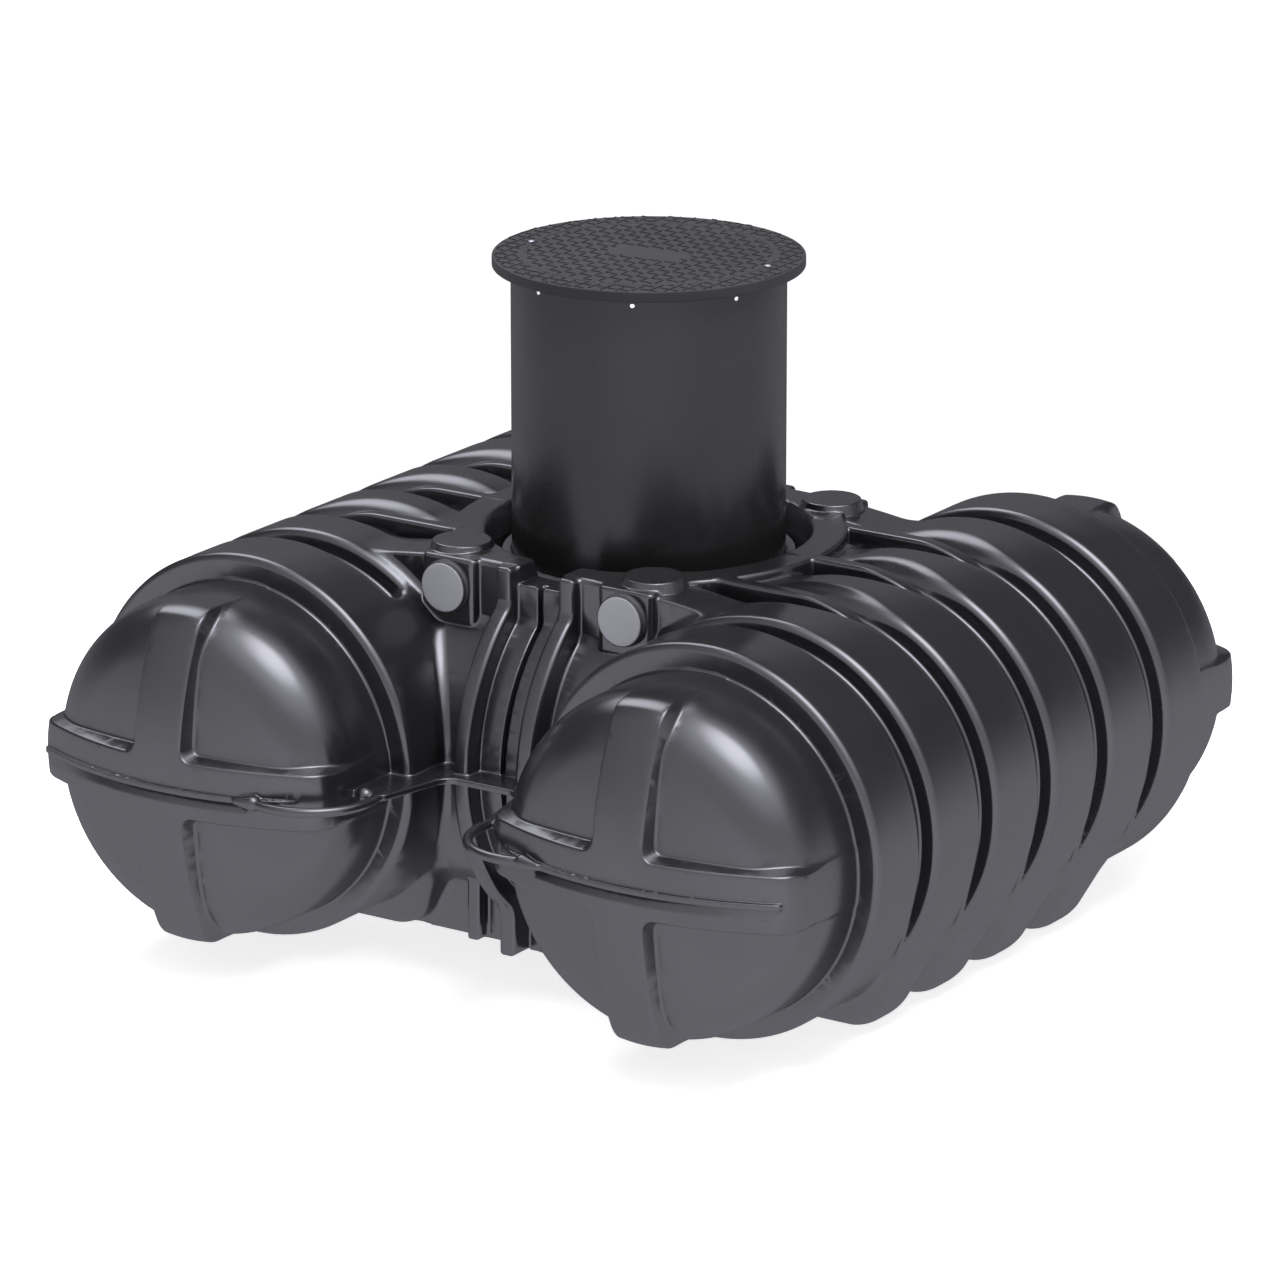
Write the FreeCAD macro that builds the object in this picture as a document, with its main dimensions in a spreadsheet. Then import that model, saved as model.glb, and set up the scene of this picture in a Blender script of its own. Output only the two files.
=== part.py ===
import FreeCAD, Part
import Sketcher
import math
import os

# Twin-barrel flat sewage holding tank with a riser shaft and a screwed cover.
# Millimetres. Z is up, the barrels lie along Y, and the floor under the feet is Z = 0.

doc = FreeCAD.newDocument("holding_tank")
sheet = doc.addObject("Spreadsheet::Sheet", "size")

SIZES = {
    # Barrels
    "barrel_spacing": 1412,
    "rib_radius": 515,
    "barrel_length": 1640,
    "barrel_wall": 12,
    "end_rib_length": 240,
    "groove_count": 5,
    "groove_width": 70,
    "groove_floor": 48,
    "groove_depth": 38,
    "groove_reach": 50,
    "passage_length": 700,
    "passage_height": 440,
    "foot_lift": 30,
    # Domed ends
    "dome_depth": 400,
    "dome_step": 28,
    "dome_crown": 900,
    "dome_knuckle": 150,
    "panel_depth": 23,
    "panel_step": 57,
    "panel_crown": 1000,
    "panel_knuckle": 185,
    "dome_wall": 12,
    "band_width": 170,
    "band_height": 190,
    "panel_corner": 60,
    # Seam bead round each dome
    "seam_proud": 11,
    "seam_thickness": 14,
    "seam_inner_end": 268,
    "seam_outer_end": 420,
    # Lifting loops
    "loop_radius": 172,
    "loop_bar": 13,
    "loop_inset": 361,
    "loop_setback": 190,
    "loop_boss_radius": 24,
    "loop_tip_across": 66,
    "loop_tip_along": 156,
    "loop_root_across": 134,
    "loop_root_along": 45,
    # Saddle between the barrels
    "bulge_radius": 460,
    "floor_lift": 140,
    "saddle_wall": 14,
    "ridge_offset": 97,
    "ridge_width": 50,
    "ridge_proud": 66,
    "centre_rib_offset": 23,
    "centre_rib_width": 30,
    "centre_rib_proud": 16,
    "flange_proud": 98,
    "web_inset": 590,
    "web_tip_inset": 544,
    "web_bend": 119,
    "web_reach": 132,
    "skirt_setback": 230,
    "skirt_inset": 291,
    "skirt_ridge_offset": 240,
    "skirt_ridge_width": 44,
    "skirt_ridge_proud": 37,
    "skirt_middle_proud": 103,
    # Collar over the saddle
    "deck_drop": 3,
    "deck_thickness": 16,
    "deck_ring_radius": 520,
    "deck_half_width": 357,
    "collar_margin": 44,
    "collar_setback": 177,
    "collar_height": 150,
    "collar_ridge_proud": 44,
    "notch_half_width": 68,
    "notch_back": 400,
    "notch_depth": 44,
    "well_radius": 432,
    "well_depth": 60,
    "well_wall": 14,
    "neck_radius": 385,
    "neck_depth": 120,
    "shelf_radius": 335,
    "shelf_thickness": 14,
    "well_window_inset": 35,
    "well_window_drop": 102,
    "wing_proud": 15,
    "wing_width": 120,
    "wing_bend_inset": 289,
    "wing_tip_inset": 106,
    "wing_fall": 45,
    "bridge_width": 44,
    "bridge_past_crown": 50,
    "bridge_slope": 110,
    # Round bosses on the deck
    "boss_inset": 59,
    "boss_setback": 63.5,
    "boss_radius": 82.5,
    "boss_top_radius": 77.4,
    "boss_height": 19.6,
    # Inlets
    "inlet_half_width": 83,
    "inlet_proud": 37,
    "inlet_drop": 77.5,
    "inlet_block_height": 175,
    "inlet_bore": 52,
    "plug_radius": 64.5,
    "plug_thickness": 16,
    "plug_spigot_length": 22,
    "plug_wall": 5,
    "seal_radius": 70,
    "seal_thickness": 9,
    # Riser shaft and cover
    "shaft_radius": 359,
    "shaft_wall": 12,
    "shaft_top": 706,
    "lip_height": 40,
    "cover_radius": 407.7,
    "cover_thickness": 30,
    "cover_edge": 4,
    "cover_spigot_depth": 25,
    "cover_spigot_wall": 12,
    "screw_ring": 333,
    "screw_turn": 10.5,
    "screw_recess_radius": 11,
    "screw_recess_depth": 6,
    "key_slot_ring": 355,
    "key_slot_length": 30,
    "key_slot_width": 23,
    "key_slot_depth": 10,
    # Feet
    "foot_inset": 170,
    "foot_flat_inset": 295,
    "foot_shoulder": 60,
    "foot_width": 200,
    # Clearances
    "fit_gap": 0.3,
    "loop_gap": 0.8,
    "spigot_gap": 2,
}

for row, (alias, value) in enumerate(SIZES.items(), start=1):
    sheet.set(f"A{row}", alias)
    sheet.set(f"B{row}", str(value))
    sheet.setAlias(f"B{row}", alias)
doc.recompute()

# Places that many pieces share
AXIS_X = "size.barrel_spacing / 2"
PARTING = "(size.rib_radius + size.foot_lift)"
DECK_TOP = f"({PARTING} + size.rib_radius - size.deck_drop)"
DECK_UNDER = f"({DECK_TOP} - size.deck_thickness)"
BARREL_END = "size.barrel_length / 2"
RIB_PITCH = "((size.barrel_length - 2 * size.end_rib_length) / (size.groove_count - 1))"
DOME_REACH = f"({BARREL_END} + size.dome_depth)"
DOME_RADIUS = "(size.rib_radius - size.dome_step)"
PANEL_RADIUS = "(size.rib_radius - size.panel_step)"
COLLAR_FRONT = "(size.well_radius + size.well_wall + size.collar_margin)"
BULGE_REACH = f"({COLLAR_FRONT} + size.collar_setback)"
BULGE_AXIS = f"({BULGE_REACH} - size.bulge_radius)"
FLOOR_DROP = "(size.rib_radius - size.floor_lift)"
BULGE_EDGE = f"({BULGE_AXIS} + sqrt(size.bulge_radius ^ 2 - {FLOOR_DROP} ^ 2))"
BULGE_TOP = f"({DECK_TOP} - size.collar_height)"
BULGE_FOOT = f"({PARTING} - {FLOOR_DROP})"
SKIRT_FRONT = f"({BULGE_REACH} - size.skirt_setback)"
DECK_FRONT = f"({COLLAR_FRONT} + size.inlet_proud)"
INLET_X = "(size.deck_half_width - size.inlet_half_width)"
INLET_Z = f"({DECK_TOP} - size.inlet_drop)"

ALONG_X = ((0, 1, 0), 90)
ALONG_Y = ((1, 0, 0), -90)
FLIP_OVER = ((0, 1, 0), 180)
ACROSS_X = (1, 0, 0)
ACROSS_Y = (0, 1, 0)
ACROSS_Z = (0, 0, 1)

nodes = []


def node(piece, label):
    """Names a finished piece, which is written to a file of that name."""
    piece.Label = label
    nodes.append(piece)
    return piece


def reflect(piece, normal, name=None):
    """A mirrored copy to build with, which is no piece of its own."""
    copy = doc.addObject("Part::Mirroring", name or piece.Name + "_mirrored")
    copy.Source = piece
    copy.Normal = FreeCAD.Vector(*normal)
    return copy


def mirror(piece, label, normal):
    """The same piece on the other side of the tank."""
    return node(reflect(piece, normal, label), label)


def four_corners(piece, name):
    """A piece at the right front corner, and its like at the other three."""
    node(piece, f"right_front_{name}")
    left = mirror(piece, f"left_front_{name}", ACROSS_X)
    mirror(piece, f"right_back_{name}", ACROSS_Y)
    mirror(left, f"left_back_{name}", ACROSS_Y)


def tie(piece, **sizes):
    """Binds properties of a piece to expressions on the sheet."""
    for name, expression in sizes.items():
        piece.setExpression(name, expression)
    return piece


def place(piece, x="0", y="0", z="0", turn=None):
    """Turns a piece about its own origin and binds its position to the sheet."""
    if turn:
        axis, angle = turn
        piece.Placement.Rotation = FreeCAD.Rotation(FreeCAD.Vector(*axis), angle)
    piece.setExpression("Placement.Base.x", x)
    piece.setExpression("Placement.Base.y", y)
    piece.setExpression("Placement.Base.z", z)
    return piece


def block(name, x, y, z):
    """A box between two ends along each axis."""
    piece = doc.addObject("Part::Box", name)
    tie(piece, Length=f"({x[1]}) - ({x[0]})", Width=f"({y[1]}) - ({y[0]})", Height=f"({z[1]}) - ({z[0]})")
    return place(piece, x[0], y[0], z[0])


def about(middle, width):
    """The two ends of a width about its middle."""
    return f"{middle} - ({width}) / 2", f"{middle} + ({width}) / 2"


def rod(name, radius, length, x="0", y="0", z="0", turn=None):
    """A cylinder, placed by the middle of its first end."""
    piece = doc.addObject("Part::Cylinder", name)
    tie(piece, Radius=radius, Height=length)
    return place(piece, x, y, z, turn)


def cut(name, base, *tools):
    piece = doc.addObject("Part::Cut", name)
    piece.Base = base
    piece.Tool = tools[0] if len(tools) == 1 else fuse(name + "_tools", *tools)
    return piece


def fuse(name, *shapes):
    piece = doc.addObject("Part::MultiFuse", name)
    piece.Shapes = list(shapes)
    return piece


def common(name, *shapes):
    piece = doc.addObject("Part::MultiCommon", name)
    piece.Shapes = list(shapes)
    return piece


def sketch_on(body, name, role):
    """An empty sketch on one of a body's own origin planes."""
    sketch = body.newObject("Sketcher::SketchObject", name)
    plane = next(feature for feature in body.Origin.OriginFeatures if feature.Role == role)
    sketch.AttachmentSupport = [(plane, "")]
    sketch.MapMode = "FlatFace"
    return sketch


def bind(sketch, constraint, expression):
    index = sketch.addConstraint(constraint)
    sketch.setExpression(f"Constraints[{index}]", expression)


def outline(body, name, role, corners):
    """A closed sketch of straight lines whose corners are bound to the sheet."""
    sketch = sketch_on(body, name, role)
    count = len(corners)
    turn = 2 * math.pi / count
    start = [FreeCAD.Vector(math.cos(turn * i), math.sin(turn * i), 0) * 100 for i in range(count)]
    for i in range(count):
        sketch.addGeometry(Part.LineSegment(start[i], start[(i + 1) % count]))
    for i in range(count):
        sketch.addConstraint(Sketcher.Constraint("Coincident", i, 2, (i + 1) % count, 1))
    for i, (across, up) in enumerate(corners):
        bind(sketch, Sketcher.Constraint("DistanceX", -1, 1, i, 1, start[i].x), across)
        bind(sketch, Sketcher.Constraint("DistanceY", -1, 1, i, 1, start[i].y), up)
    return sketch


def revolve(body, sketch, axis, angle="360"):
    """Turns a profile about one of its sketch's axes, the same way on both sides."""
    feature = body.newObject("PartDesign::Revolution", sketch.Name + "_turned")
    feature.Profile = sketch
    feature.ReferenceAxis = (sketch, [axis])
    feature.Midplane = True
    return tie(feature, Angle=angle)


def turned(name, role, axis, corners):
    """A ring or disc turned from a straight-sided profile."""
    body = doc.addObject("PartDesign::Body", name)
    revolve(body, outline(body, name + "_profile", role, corners), axis)
    return body


def pad_both_ways(body, sketch, length):
    """Thickens a profile to both sides of its plane."""
    pad = body.newObject("PartDesign::Pad", sketch.Name + "_pad")
    pad.Profile = sketch
    pad.SideType = "Symmetric"
    tie(pad, Length=length)
    return body


def groove_profile(sign_y):
    """Corners of one groove's section, as places along the barrel and radii."""
    middle = f"{sign_y}(size.groove_count - 1) / 2 * {RIB_PITCH}"
    floor = "size.rib_radius - size.groove_depth"
    brim = "size.rib_radius + size.groove_depth"
    half = "(size.groove_width / 2 + (size.groove_width - size.groove_floor) / 2)"
    return [(f"{middle} - {half}", brim), (f"{middle} - size.groove_floor / 2", floor),
            (f"{middle} + size.groove_floor / 2", floor), (f"{middle} + {half}", brim)]


# Barrels: two ribbed tubes, each moulded in an upper and a lower half that meet at the parting plane

def barrel_half(name):
    """A half tube over the parting plane, with its axis along Y."""
    body = doc.addObject("PartDesign::Body", name)
    inside = "size.rib_radius - size.groove_depth - size.barrel_wall"
    wall = outline(body, name + "_wall", "YZ_Plane",
                   [(f"-{BARREL_END}", inside), (BARREL_END, inside),
                    (BARREL_END, "size.rib_radius"), (f"-{BARREL_END}", "size.rib_radius")])
    revolve(body, wall, "H_Axis", "180")
    doc.recompute()
    return body


def pattern_grooves(body, groove, sketch, axis):
    """Repeats the first groove along the barrel."""
    pattern = body.newObject("PartDesign::LinearPattern", groove.Name + "_row")
    pattern.Originals = [groove]
    pattern.Direction = (sketch, [axis])
    tie(pattern, Length=f"(size.groove_count - 1) * {RIB_PITCH}", Occurrences="size.groove_count")
    body.Tip = pattern


def cut_passage(body, reverse):
    """The window through which a barrel is open to the chamber between the barrels."""
    half_length = "size.passage_length / 2"
    window = outline(body, body.Name + "_window", "YZ_Plane",
                     [(f"-{half_length}", "0"), (half_length, "0"),
                      (half_length, "size.passage_height / 2"),
                      (f"-{half_length}", "size.passage_height / 2")])
    pocket = body.newObject("PartDesign::Pocket", body.Name + "_passage")
    pocket.Profile = window
    pocket.Type = "ThroughAll"
    pocket.Reversed = reverse
    body.Tip = pocket
    doc.recompute()


def upper_barrel():
    body = barrel_half("barrel_upper")
    profile = outline(body, "upper_groove_profile", "YZ_Plane", groove_profile("-"))
    groove = body.newObject("PartDesign::Groove", "upper_groove")
    groove.Profile = profile
    groove.ReferenceAxis = (profile, ["H_Axis"])
    groove.Midplane = True
    groove.Angle = 180
    doc.recompute()
    pattern_grooves(body, groove, profile, "H_Axis")
    cut_passage(body, False)
    return place(body, AXIS_X, "0", PARTING)


def lower_barrel():
    body = barrel_half("barrel_lower")
    corners = [(f"-({radius})", along) for along, radius in groove_profile("-")]
    profile = outline(body, "lower_groove_profile", "XY_Plane", corners)
    groove = body.newObject("PartDesign::Groove", "lower_groove")
    groove.Profile = profile
    groove.ReferenceAxis = (profile, ["V_Axis"])
    tie(groove, Angle="size.groove_reach")
    doc.recompute()
    pattern_grooves(body, groove, profile, "V_Axis")
    cut_passage(body, True)
    return place(body, AXIS_X, "0", PARTING, FLIP_OVER)


for piece, half in ((upper_barrel(), "upper"), (lower_barrel(), "lower")):
    node(piece, f"right_barrel_{half}")
    mirror(piece, f"left_barrel_{half}", ACROSS_X)


def barrels(name, radius):
    """Both barrels as solid rods, which are cut out of what stands against them."""
    length = "(size.barrel_length + 2 * size.fit_gap)"
    right = rod(name + "_right", radius, length, AXIS_X, f"-{length} / 2", PARTING, ALONG_Y)
    left = rod(name + "_left", radius, length, f"-{AXIS_X}", f"-{length} / 2", PARTING, ALONG_Y)
    return fuse(name, right, left)


barrel_room = barrels("barrel_room", "size.rib_radius + size.fit_gap")
groove_room = barrels("groove_room", "size.rib_radius - size.groove_depth + size.fit_gap")


# Domed ends: a smooth dome with a raised cross band, so that four sunk panels are left between

def dome_solid(name, reach, radius, crown, knuckle):
    """A turned dome on the front end: a crown arc, a tighter knuckle arc and a straight rim."""
    body = doc.addObject("PartDesign::Body", name)
    sketch = sketch_on(body, name + "_profile", "YZ_Plane")
    big, small = SIZES["dome_crown"], SIZES["dome_knuckle"]
    wide = SIZES["rib_radius"] - SIZES["dome_step"]
    base = -SIZES["barrel_length"] / 2
    tip = base - SIZES["dome_depth"]
    run = math.sqrt((big - small) ** 2 - (wide - small) ** 2)
    knuckle_y = tip + big - run
    meet = math.pi - math.atan2(wide - small, run)
    crown_circle = Part.Circle(FreeCAD.Vector(tip + big, 0, 0), FreeCAD.Vector(0, 0, 1), big)
    knuckle_circle = Part.Circle(FreeCAD.Vector(knuckle_y, wide - small, 0), FreeCAD.Vector(0, 0, 1), small)
    axis_line, crown_arc, knuckle_arc, rim_line, base_line = sketch.addGeometry([
        Part.LineSegment(FreeCAD.Vector(base, 0, 0), FreeCAD.Vector(tip, 0, 0)),
        Part.ArcOfCircle(crown_circle, meet, math.pi),
        Part.ArcOfCircle(knuckle_circle, math.pi / 2, meet),
        Part.LineSegment(FreeCAD.Vector(knuckle_y, wide, 0), FreeCAD.Vector(base, wide, 0)),
        Part.LineSegment(FreeCAD.Vector(base, wide, 0), FreeCAD.Vector(base, 0, 0))])
    start, end, centre, origin, across = 1, 2, 3, -1, -1
    for constraint in (
            Sketcher.Constraint("Coincident", axis_line, end, crown_arc, end),
            Sketcher.Constraint("Tangent", crown_arc, start, knuckle_arc, end),
            Sketcher.Constraint("Tangent", knuckle_arc, start, rim_line, start),
            Sketcher.Constraint("Coincident", rim_line, end, base_line, start),
            Sketcher.Constraint("Coincident", base_line, end, axis_line, start),
            Sketcher.Constraint("PointOnObject", axis_line, start, across),
            Sketcher.Constraint("PointOnObject", axis_line, end, across),
            Sketcher.Constraint("PointOnObject", crown_arc, centre, across),
            Sketcher.Constraint("Horizontal", rim_line),
            Sketcher.Constraint("Vertical", base_line)):
        sketch.addConstraint(constraint)
    bind(sketch, Sketcher.Constraint("DistanceX", origin, 1, axis_line, start, base), f"-{BARREL_END}")
    bind(sketch, Sketcher.Constraint("DistanceX", origin, 1, axis_line, end, tip), f"-({reach})")
    bind(sketch, Sketcher.Constraint("DistanceY", origin, 1, rim_line, start, wide), radius)
    bind(sketch, Sketcher.Constraint("Radius", crown_arc, big), crown)
    bind(sketch, Sketcher.Constraint("Radius", knuckle_arc, small), knuckle)
    revolve(body, sketch, "H_Axis")
    return place(body, AXIS_X, "0", PARTING)


def cross_band():
    """A prism of the raised cross, with the panels' rounded corners in its four angles."""
    depth = (f"-2 * {DOME_REACH}", "0")
    span = about(AXIS_X, f"4 * {DOME_RADIUS}")
    rise = about(PARTING, f"4 * {DOME_RADIUS}")
    upright = block("band_upright", about(AXIS_X, "size.band_width"), depth, rise)
    level = block("band_level", span, depth, about(PARTING, "size.band_height"))
    middle = block("band_middle", about(AXIS_X, "size.band_width + 2 * size.panel_corner"), depth,
                   about(PARTING, "size.band_height + 2 * size.panel_corner"))
    corners = [rod(f"panel_corner_{x}{z}", "size.panel_corner", f"2 * {DOME_REACH}",
                   f"{AXIS_X} {sign_x} (size.band_width / 2 + size.panel_corner)", f"-2 * {DOME_REACH}",
                   f"{PARTING} {sign_z} (size.band_height / 2 + size.panel_corner)", ALONG_Y)
               for x, sign_x in enumerate("-+") for z, sign_z in enumerate("-+")]
    return fuse("cross_band", upright, level, cut("band_fillets", middle, *corners))


dome_outer = dome_solid("dome_outer", DOME_REACH, DOME_RADIUS, "size.dome_crown", "size.dome_knuckle")
dome_panels = dome_solid("dome_panels", f"{DOME_REACH} - size.panel_depth", PANEL_RADIUS, "size.panel_crown",
                         "size.panel_knuckle")
dome_cavity = dome_solid("dome_cavity", f"{DOME_REACH} - size.panel_depth - size.dome_wall",
                         f"{PANEL_RADIUS} - size.dome_wall", "size.panel_crown - size.dome_wall",
                         "size.panel_knuckle - size.dome_wall")
raised_cross = common("raised_cross", dome_outer, cross_band())
dome = cut("dome", fuse("dome_skin", dome_panels, raised_cross), dome_cavity)
four_corners(dome, "dome")


def dome_space(name, clearance):
    """The room that a dome takes up, which is cut out of what stands against it."""
    return dome_solid(name, f"{DOME_REACH} + {clearance}", f"{DOME_RADIUS} + {clearance}",
                      f"size.dome_crown + {clearance}", f"size.dome_knuckle + {clearance}")


dome_room = dome_space("dome_room", "size.fit_gap")


# Seam: the bead left along the parting plane round the front of each dome

seam_skin = dome_space("seam_skin", "size.seam_proud")
seam_slab = block("seam_slab", (f"{AXIS_X} - size.seam_inner_end", f"{AXIS_X} + size.seam_outer_end"),
                  (f"-2 * {DOME_REACH}", f"-{BARREL_END}"), about(PARTING, "size.seam_thickness"))
four_corners(cut("seam", common("seam_band", seam_skin, seam_slab), dome_room), "seam")


# Lifting loops: round bars in the parting plane at the inner corner of each dome, thickened at both ends

LOOP_X = f"({AXIS_X} - size.loop_inset)"
LOOP_Y = f"({DOME_REACH} - size.loop_setback)"


def lifting_loop():
    """A ring from the seam round to the dome's side, with a ball at each end."""
    ring = doc.addObject("Part::Torus", "loop_ring")
    tie(ring, Radius1="size.loop_radius", Radius2="size.loop_bar")
    place(ring, LOOP_X, f"-{LOOP_Y}", PARTING)
    behind = block("behind_loop", about(LOOP_X, "4 * size.loop_radius"),
                   (f"-({LOOP_Y} - size.loop_root_along - size.loop_boss_radius / 2)", "0"),
                   about(PARTING, "4 * size.loop_bar"))
    ends = []
    for end, sign in (("tip", "+"), ("root", "-")):
        knob = doc.addObject("Part::Sphere", f"loop_{end}")
        tie(knob, Radius="size.loop_boss_radius")
        along = f"-({LOOP_Y} {sign} size.loop_{end}_along)"
        ends.append(place(knob, f"{LOOP_X} {sign} size.loop_{end}_across", along, PARTING))
    return cut("loop", fuse("loop_solid", cut("loop_bar", ring, behind), *ends),
               dome_space("loop_seat", "size.loop_gap"))


loop = node(lifting_loop(), "right_front_lifting_loop")
loop_over = tie(reflect(loop, ACROSS_Z), **{"Base.z": PARTING})
mirror(loop_over, "left_front_lifting_loop", ACROSS_X)
mirror(loop_over, "right_back_lifting_loop", ACROSS_Y)
mirror(reflect(loop, ACROSS_X), "left_back_lifting_loop", ACROSS_Y)


# Saddle: the bulging front and back walls of the chamber between the barrels, with upright ridges

def bulge_rod(name, radius):
    span = "size.barrel_spacing"
    return rod(name, radius, span, f"-{span} / 2", f"-{BULGE_AXIS}", PARTING, ALONG_X)


def bulge_ribs(name, proud, widths, heights):
    """Upright or level strips that stand proud of the bulging wall."""
    skin = bulge_rod(name + "_skin", f"size.bulge_radius + {proud}")
    depth = (f"-2 * {BULGE_REACH}", f"-{BULGE_AXIS}")
    strips = [block(f"{name}_{i}", width, depth, heights) for i, width in enumerate(widths)]
    return common(name, skin, strips[0] if len(strips) == 1 else fuse(name + "_strips", *strips))


RIDGES = [about(f"{sign}size.ridge_offset", "size.ridge_width") for sign in ("-", "")]
CENTRE_RIBS = [about(f"{sign}size.centre_rib_offset", "size.centre_rib_width") for sign in ("-", "")]
BULGE_SPAN = (BULGE_FOOT, BULGE_TOP)


def flange_web():
    """The part of the flange that runs forward between a barrel and the middle, along the dome's rim."""
    inner, tip = f"{AXIS_X} - size.web_inset", f"{AXIS_X} - size.web_tip_inset"
    bend, end = f"-({BULGE_REACH} + size.web_bend)", f"-({BARREL_END} + size.web_reach)"
    body = doc.addObject("PartDesign::Body", "flange_web")
    plan = outline(body, "flange_web_plan", "XY_Plane",
                   [(inner, f"-{BULGE_REACH}"), (inner, bend), (tip, end),
                    (AXIS_X, end), (AXIS_X, f"-{BULGE_REACH}")])
    return place(pad_both_ways(body, plan, "size.seam_thickness"), "0", "0", PARTING)


bulge_front = block("bulge_front", about("0", "size.barrel_spacing"),
                    (f"-2 * {BULGE_REACH}", f"-{BULGE_AXIS}"), BULGE_SPAN)
web = flange_web()
bulge_skin = common("bulge_skin", bulge_rod("bulge", "size.bulge_radius"), bulge_front)
saddle_solid = fuse("saddle_solid", bulge_skin,
                    bulge_ribs("ridges", "size.ridge_proud", RIDGES, BULGE_SPAN),
                    bulge_ribs("centre_ribs", "size.centre_rib_proud", CENTRE_RIBS, BULGE_SPAN),
                    bulge_ribs("flange", "size.flange_proud", [about("0", "size.barrel_spacing")],
                               about(PARTING, "size.seam_thickness")), web, reflect(web, ACROSS_X))
bulge_inside = bulge_rod("bulge_inside", "size.bulge_radius - size.saddle_wall")
saddle_wall = cut("saddle_wall", saddle_solid, bulge_inside, dome_room, reflect(dome_room, ACROSS_X),
                  barrel_room)
node(saddle_wall, "front_saddle_wall")
mirror(saddle_wall, "back_saddle_wall", ACROSS_Y)

floor_plate = block("floor_plate", about("0", "size.barrel_spacing"), (f"-{BULGE_EDGE}", BULGE_EDGE),
                    (f"{BULGE_FOOT} - size.saddle_wall", BULGE_FOOT))
node(cut("floor", floor_plate, barrel_room), "saddle_floor")


# Skirts: upright walls under the saddle, with ridges, that stand on the ground

saddle_room = bulge_ribs("saddle_room", "size.ridge_proud + size.fit_gap", RIDGES, BULGE_SPAN)


def skirt():
    rise = ("0", f"{BULGE_FOOT} - size.saddle_wall")
    back = f"-{SKIRT_FRONT} + size.saddle_wall"
    plate = block("skirt_plate", about("0", f"2 * ({AXIS_X} - size.skirt_inset)"),
                  (f"-{SKIRT_FRONT}", back), rise)
    outer = [block(f"skirt_ridge_{i}", about(f"{sign}size.skirt_ridge_offset", "size.skirt_ridge_width"),
                   (f"-{SKIRT_FRONT} - size.skirt_ridge_proud", back), rise)
             for i, sign in enumerate(("-", ""))]
    middle = [block(f"skirt_middle_{i}", width, (f"-{SKIRT_FRONT} - size.skirt_middle_proud", back), rise)
              for i, width in enumerate(RIDGES)]
    return cut("skirt", fuse("skirt_solid", plate, *outer, *middle), barrel_room, saddle_room)


front_skirt = node(skirt(), "front_skirt")
mirror(front_skirt, "back_skirt", ACROSS_Y)


# Collar: an upright wall round the shaft well, closed by a flat deck

def collar_form(name, inset, ring_inset, low, high):
    """The collar's plan between two heights: a square one, and a round drum with flat ends."""
    ends = about("0", f"2 * ({COLLAR_FRONT} - {inset})")
    disc = rod(name + "_disc", f"size.deck_ring_radius - {ring_inset}", f"{high} - {low}", z=low)
    flats = block(name + "_flats", about("0", "2 * size.deck_ring_radius"), ends, (low, high))
    square = block(name + "_square", about("0", f"2 * (size.deck_half_width - {inset})"), ends, (low, high))
    return fuse(name, common(name + "_drum", disc, flats), square)


def collar_ribs(name, widths, proud, high):
    """Upright ribs through the collar, proud of both its ends."""
    reach = f"2 * ({COLLAR_FRONT} + {proud})"
    return [block(f"{name}_{i}", width, about("0", reach), (BULGE_TOP, high))
            for i, width in enumerate(widths)]


NOTCH_FLOOR = f"({DECK_TOP} - size.notch_depth)"
TRAY_UNDER = f"({NOTCH_FLOOR} - size.deck_thickness)"
collar_outside = fuse("collar_outside", collar_form("collar_skin", "0", "0", BULGE_TOP, DECK_UNDER),
                      *collar_ribs("collar_ridge", RIDGES, "size.collar_ridge_proud", DECK_UNDER),
                      *collar_ribs("collar_centre_rib", CENTRE_RIBS, "size.centre_rib_proud", TRAY_UNDER))
collar_inside = collar_form("collar_inside", "size.saddle_wall", "size.saddle_wall", BULGE_TOP, DECK_UNDER)

inlet_bores = [rod(f"inlet_bore_{i}", "size.inlet_bore", f"2 * ({DECK_FRONT} + size.seal_thickness)",
                   f"{sign}{INLET_X}", f"-{DECK_FRONT} - size.seal_thickness", INLET_Z, ALONG_Y)
               for i, sign in enumerate(("-", ""))]
bores = fuse("inlet_bores", *inlet_bores)


NOTCH_FRONT = f"({COLLAR_FRONT} + size.centre_rib_proud)"
NOTCH_ENDS = ((f"-{NOTCH_FRONT}", "-size.notch_back"), ("size.notch_back", NOTCH_FRONT))


def notch_blocks(name, wider, low):
    """Room at both ends of the deck between the ridges."""
    across = about("0", f"2 * (size.notch_half_width + {wider})")
    return [block(f"{name}_{i}", across, ends, (low, DECK_TOP)) for i, ends in enumerate(NOTCH_ENDS)]


tray_room = fuse("tray_room", *notch_blocks("tray_space", "size.deck_thickness + size.fit_gap", TRAY_UNDER))
notch = fuse("notch", *notch_blocks("notch_end", "0", NOTCH_FLOOR))
node(cut("collar", collar_outside, collar_inside, barrel_room, bores, tray_room), "collar_wall")


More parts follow.
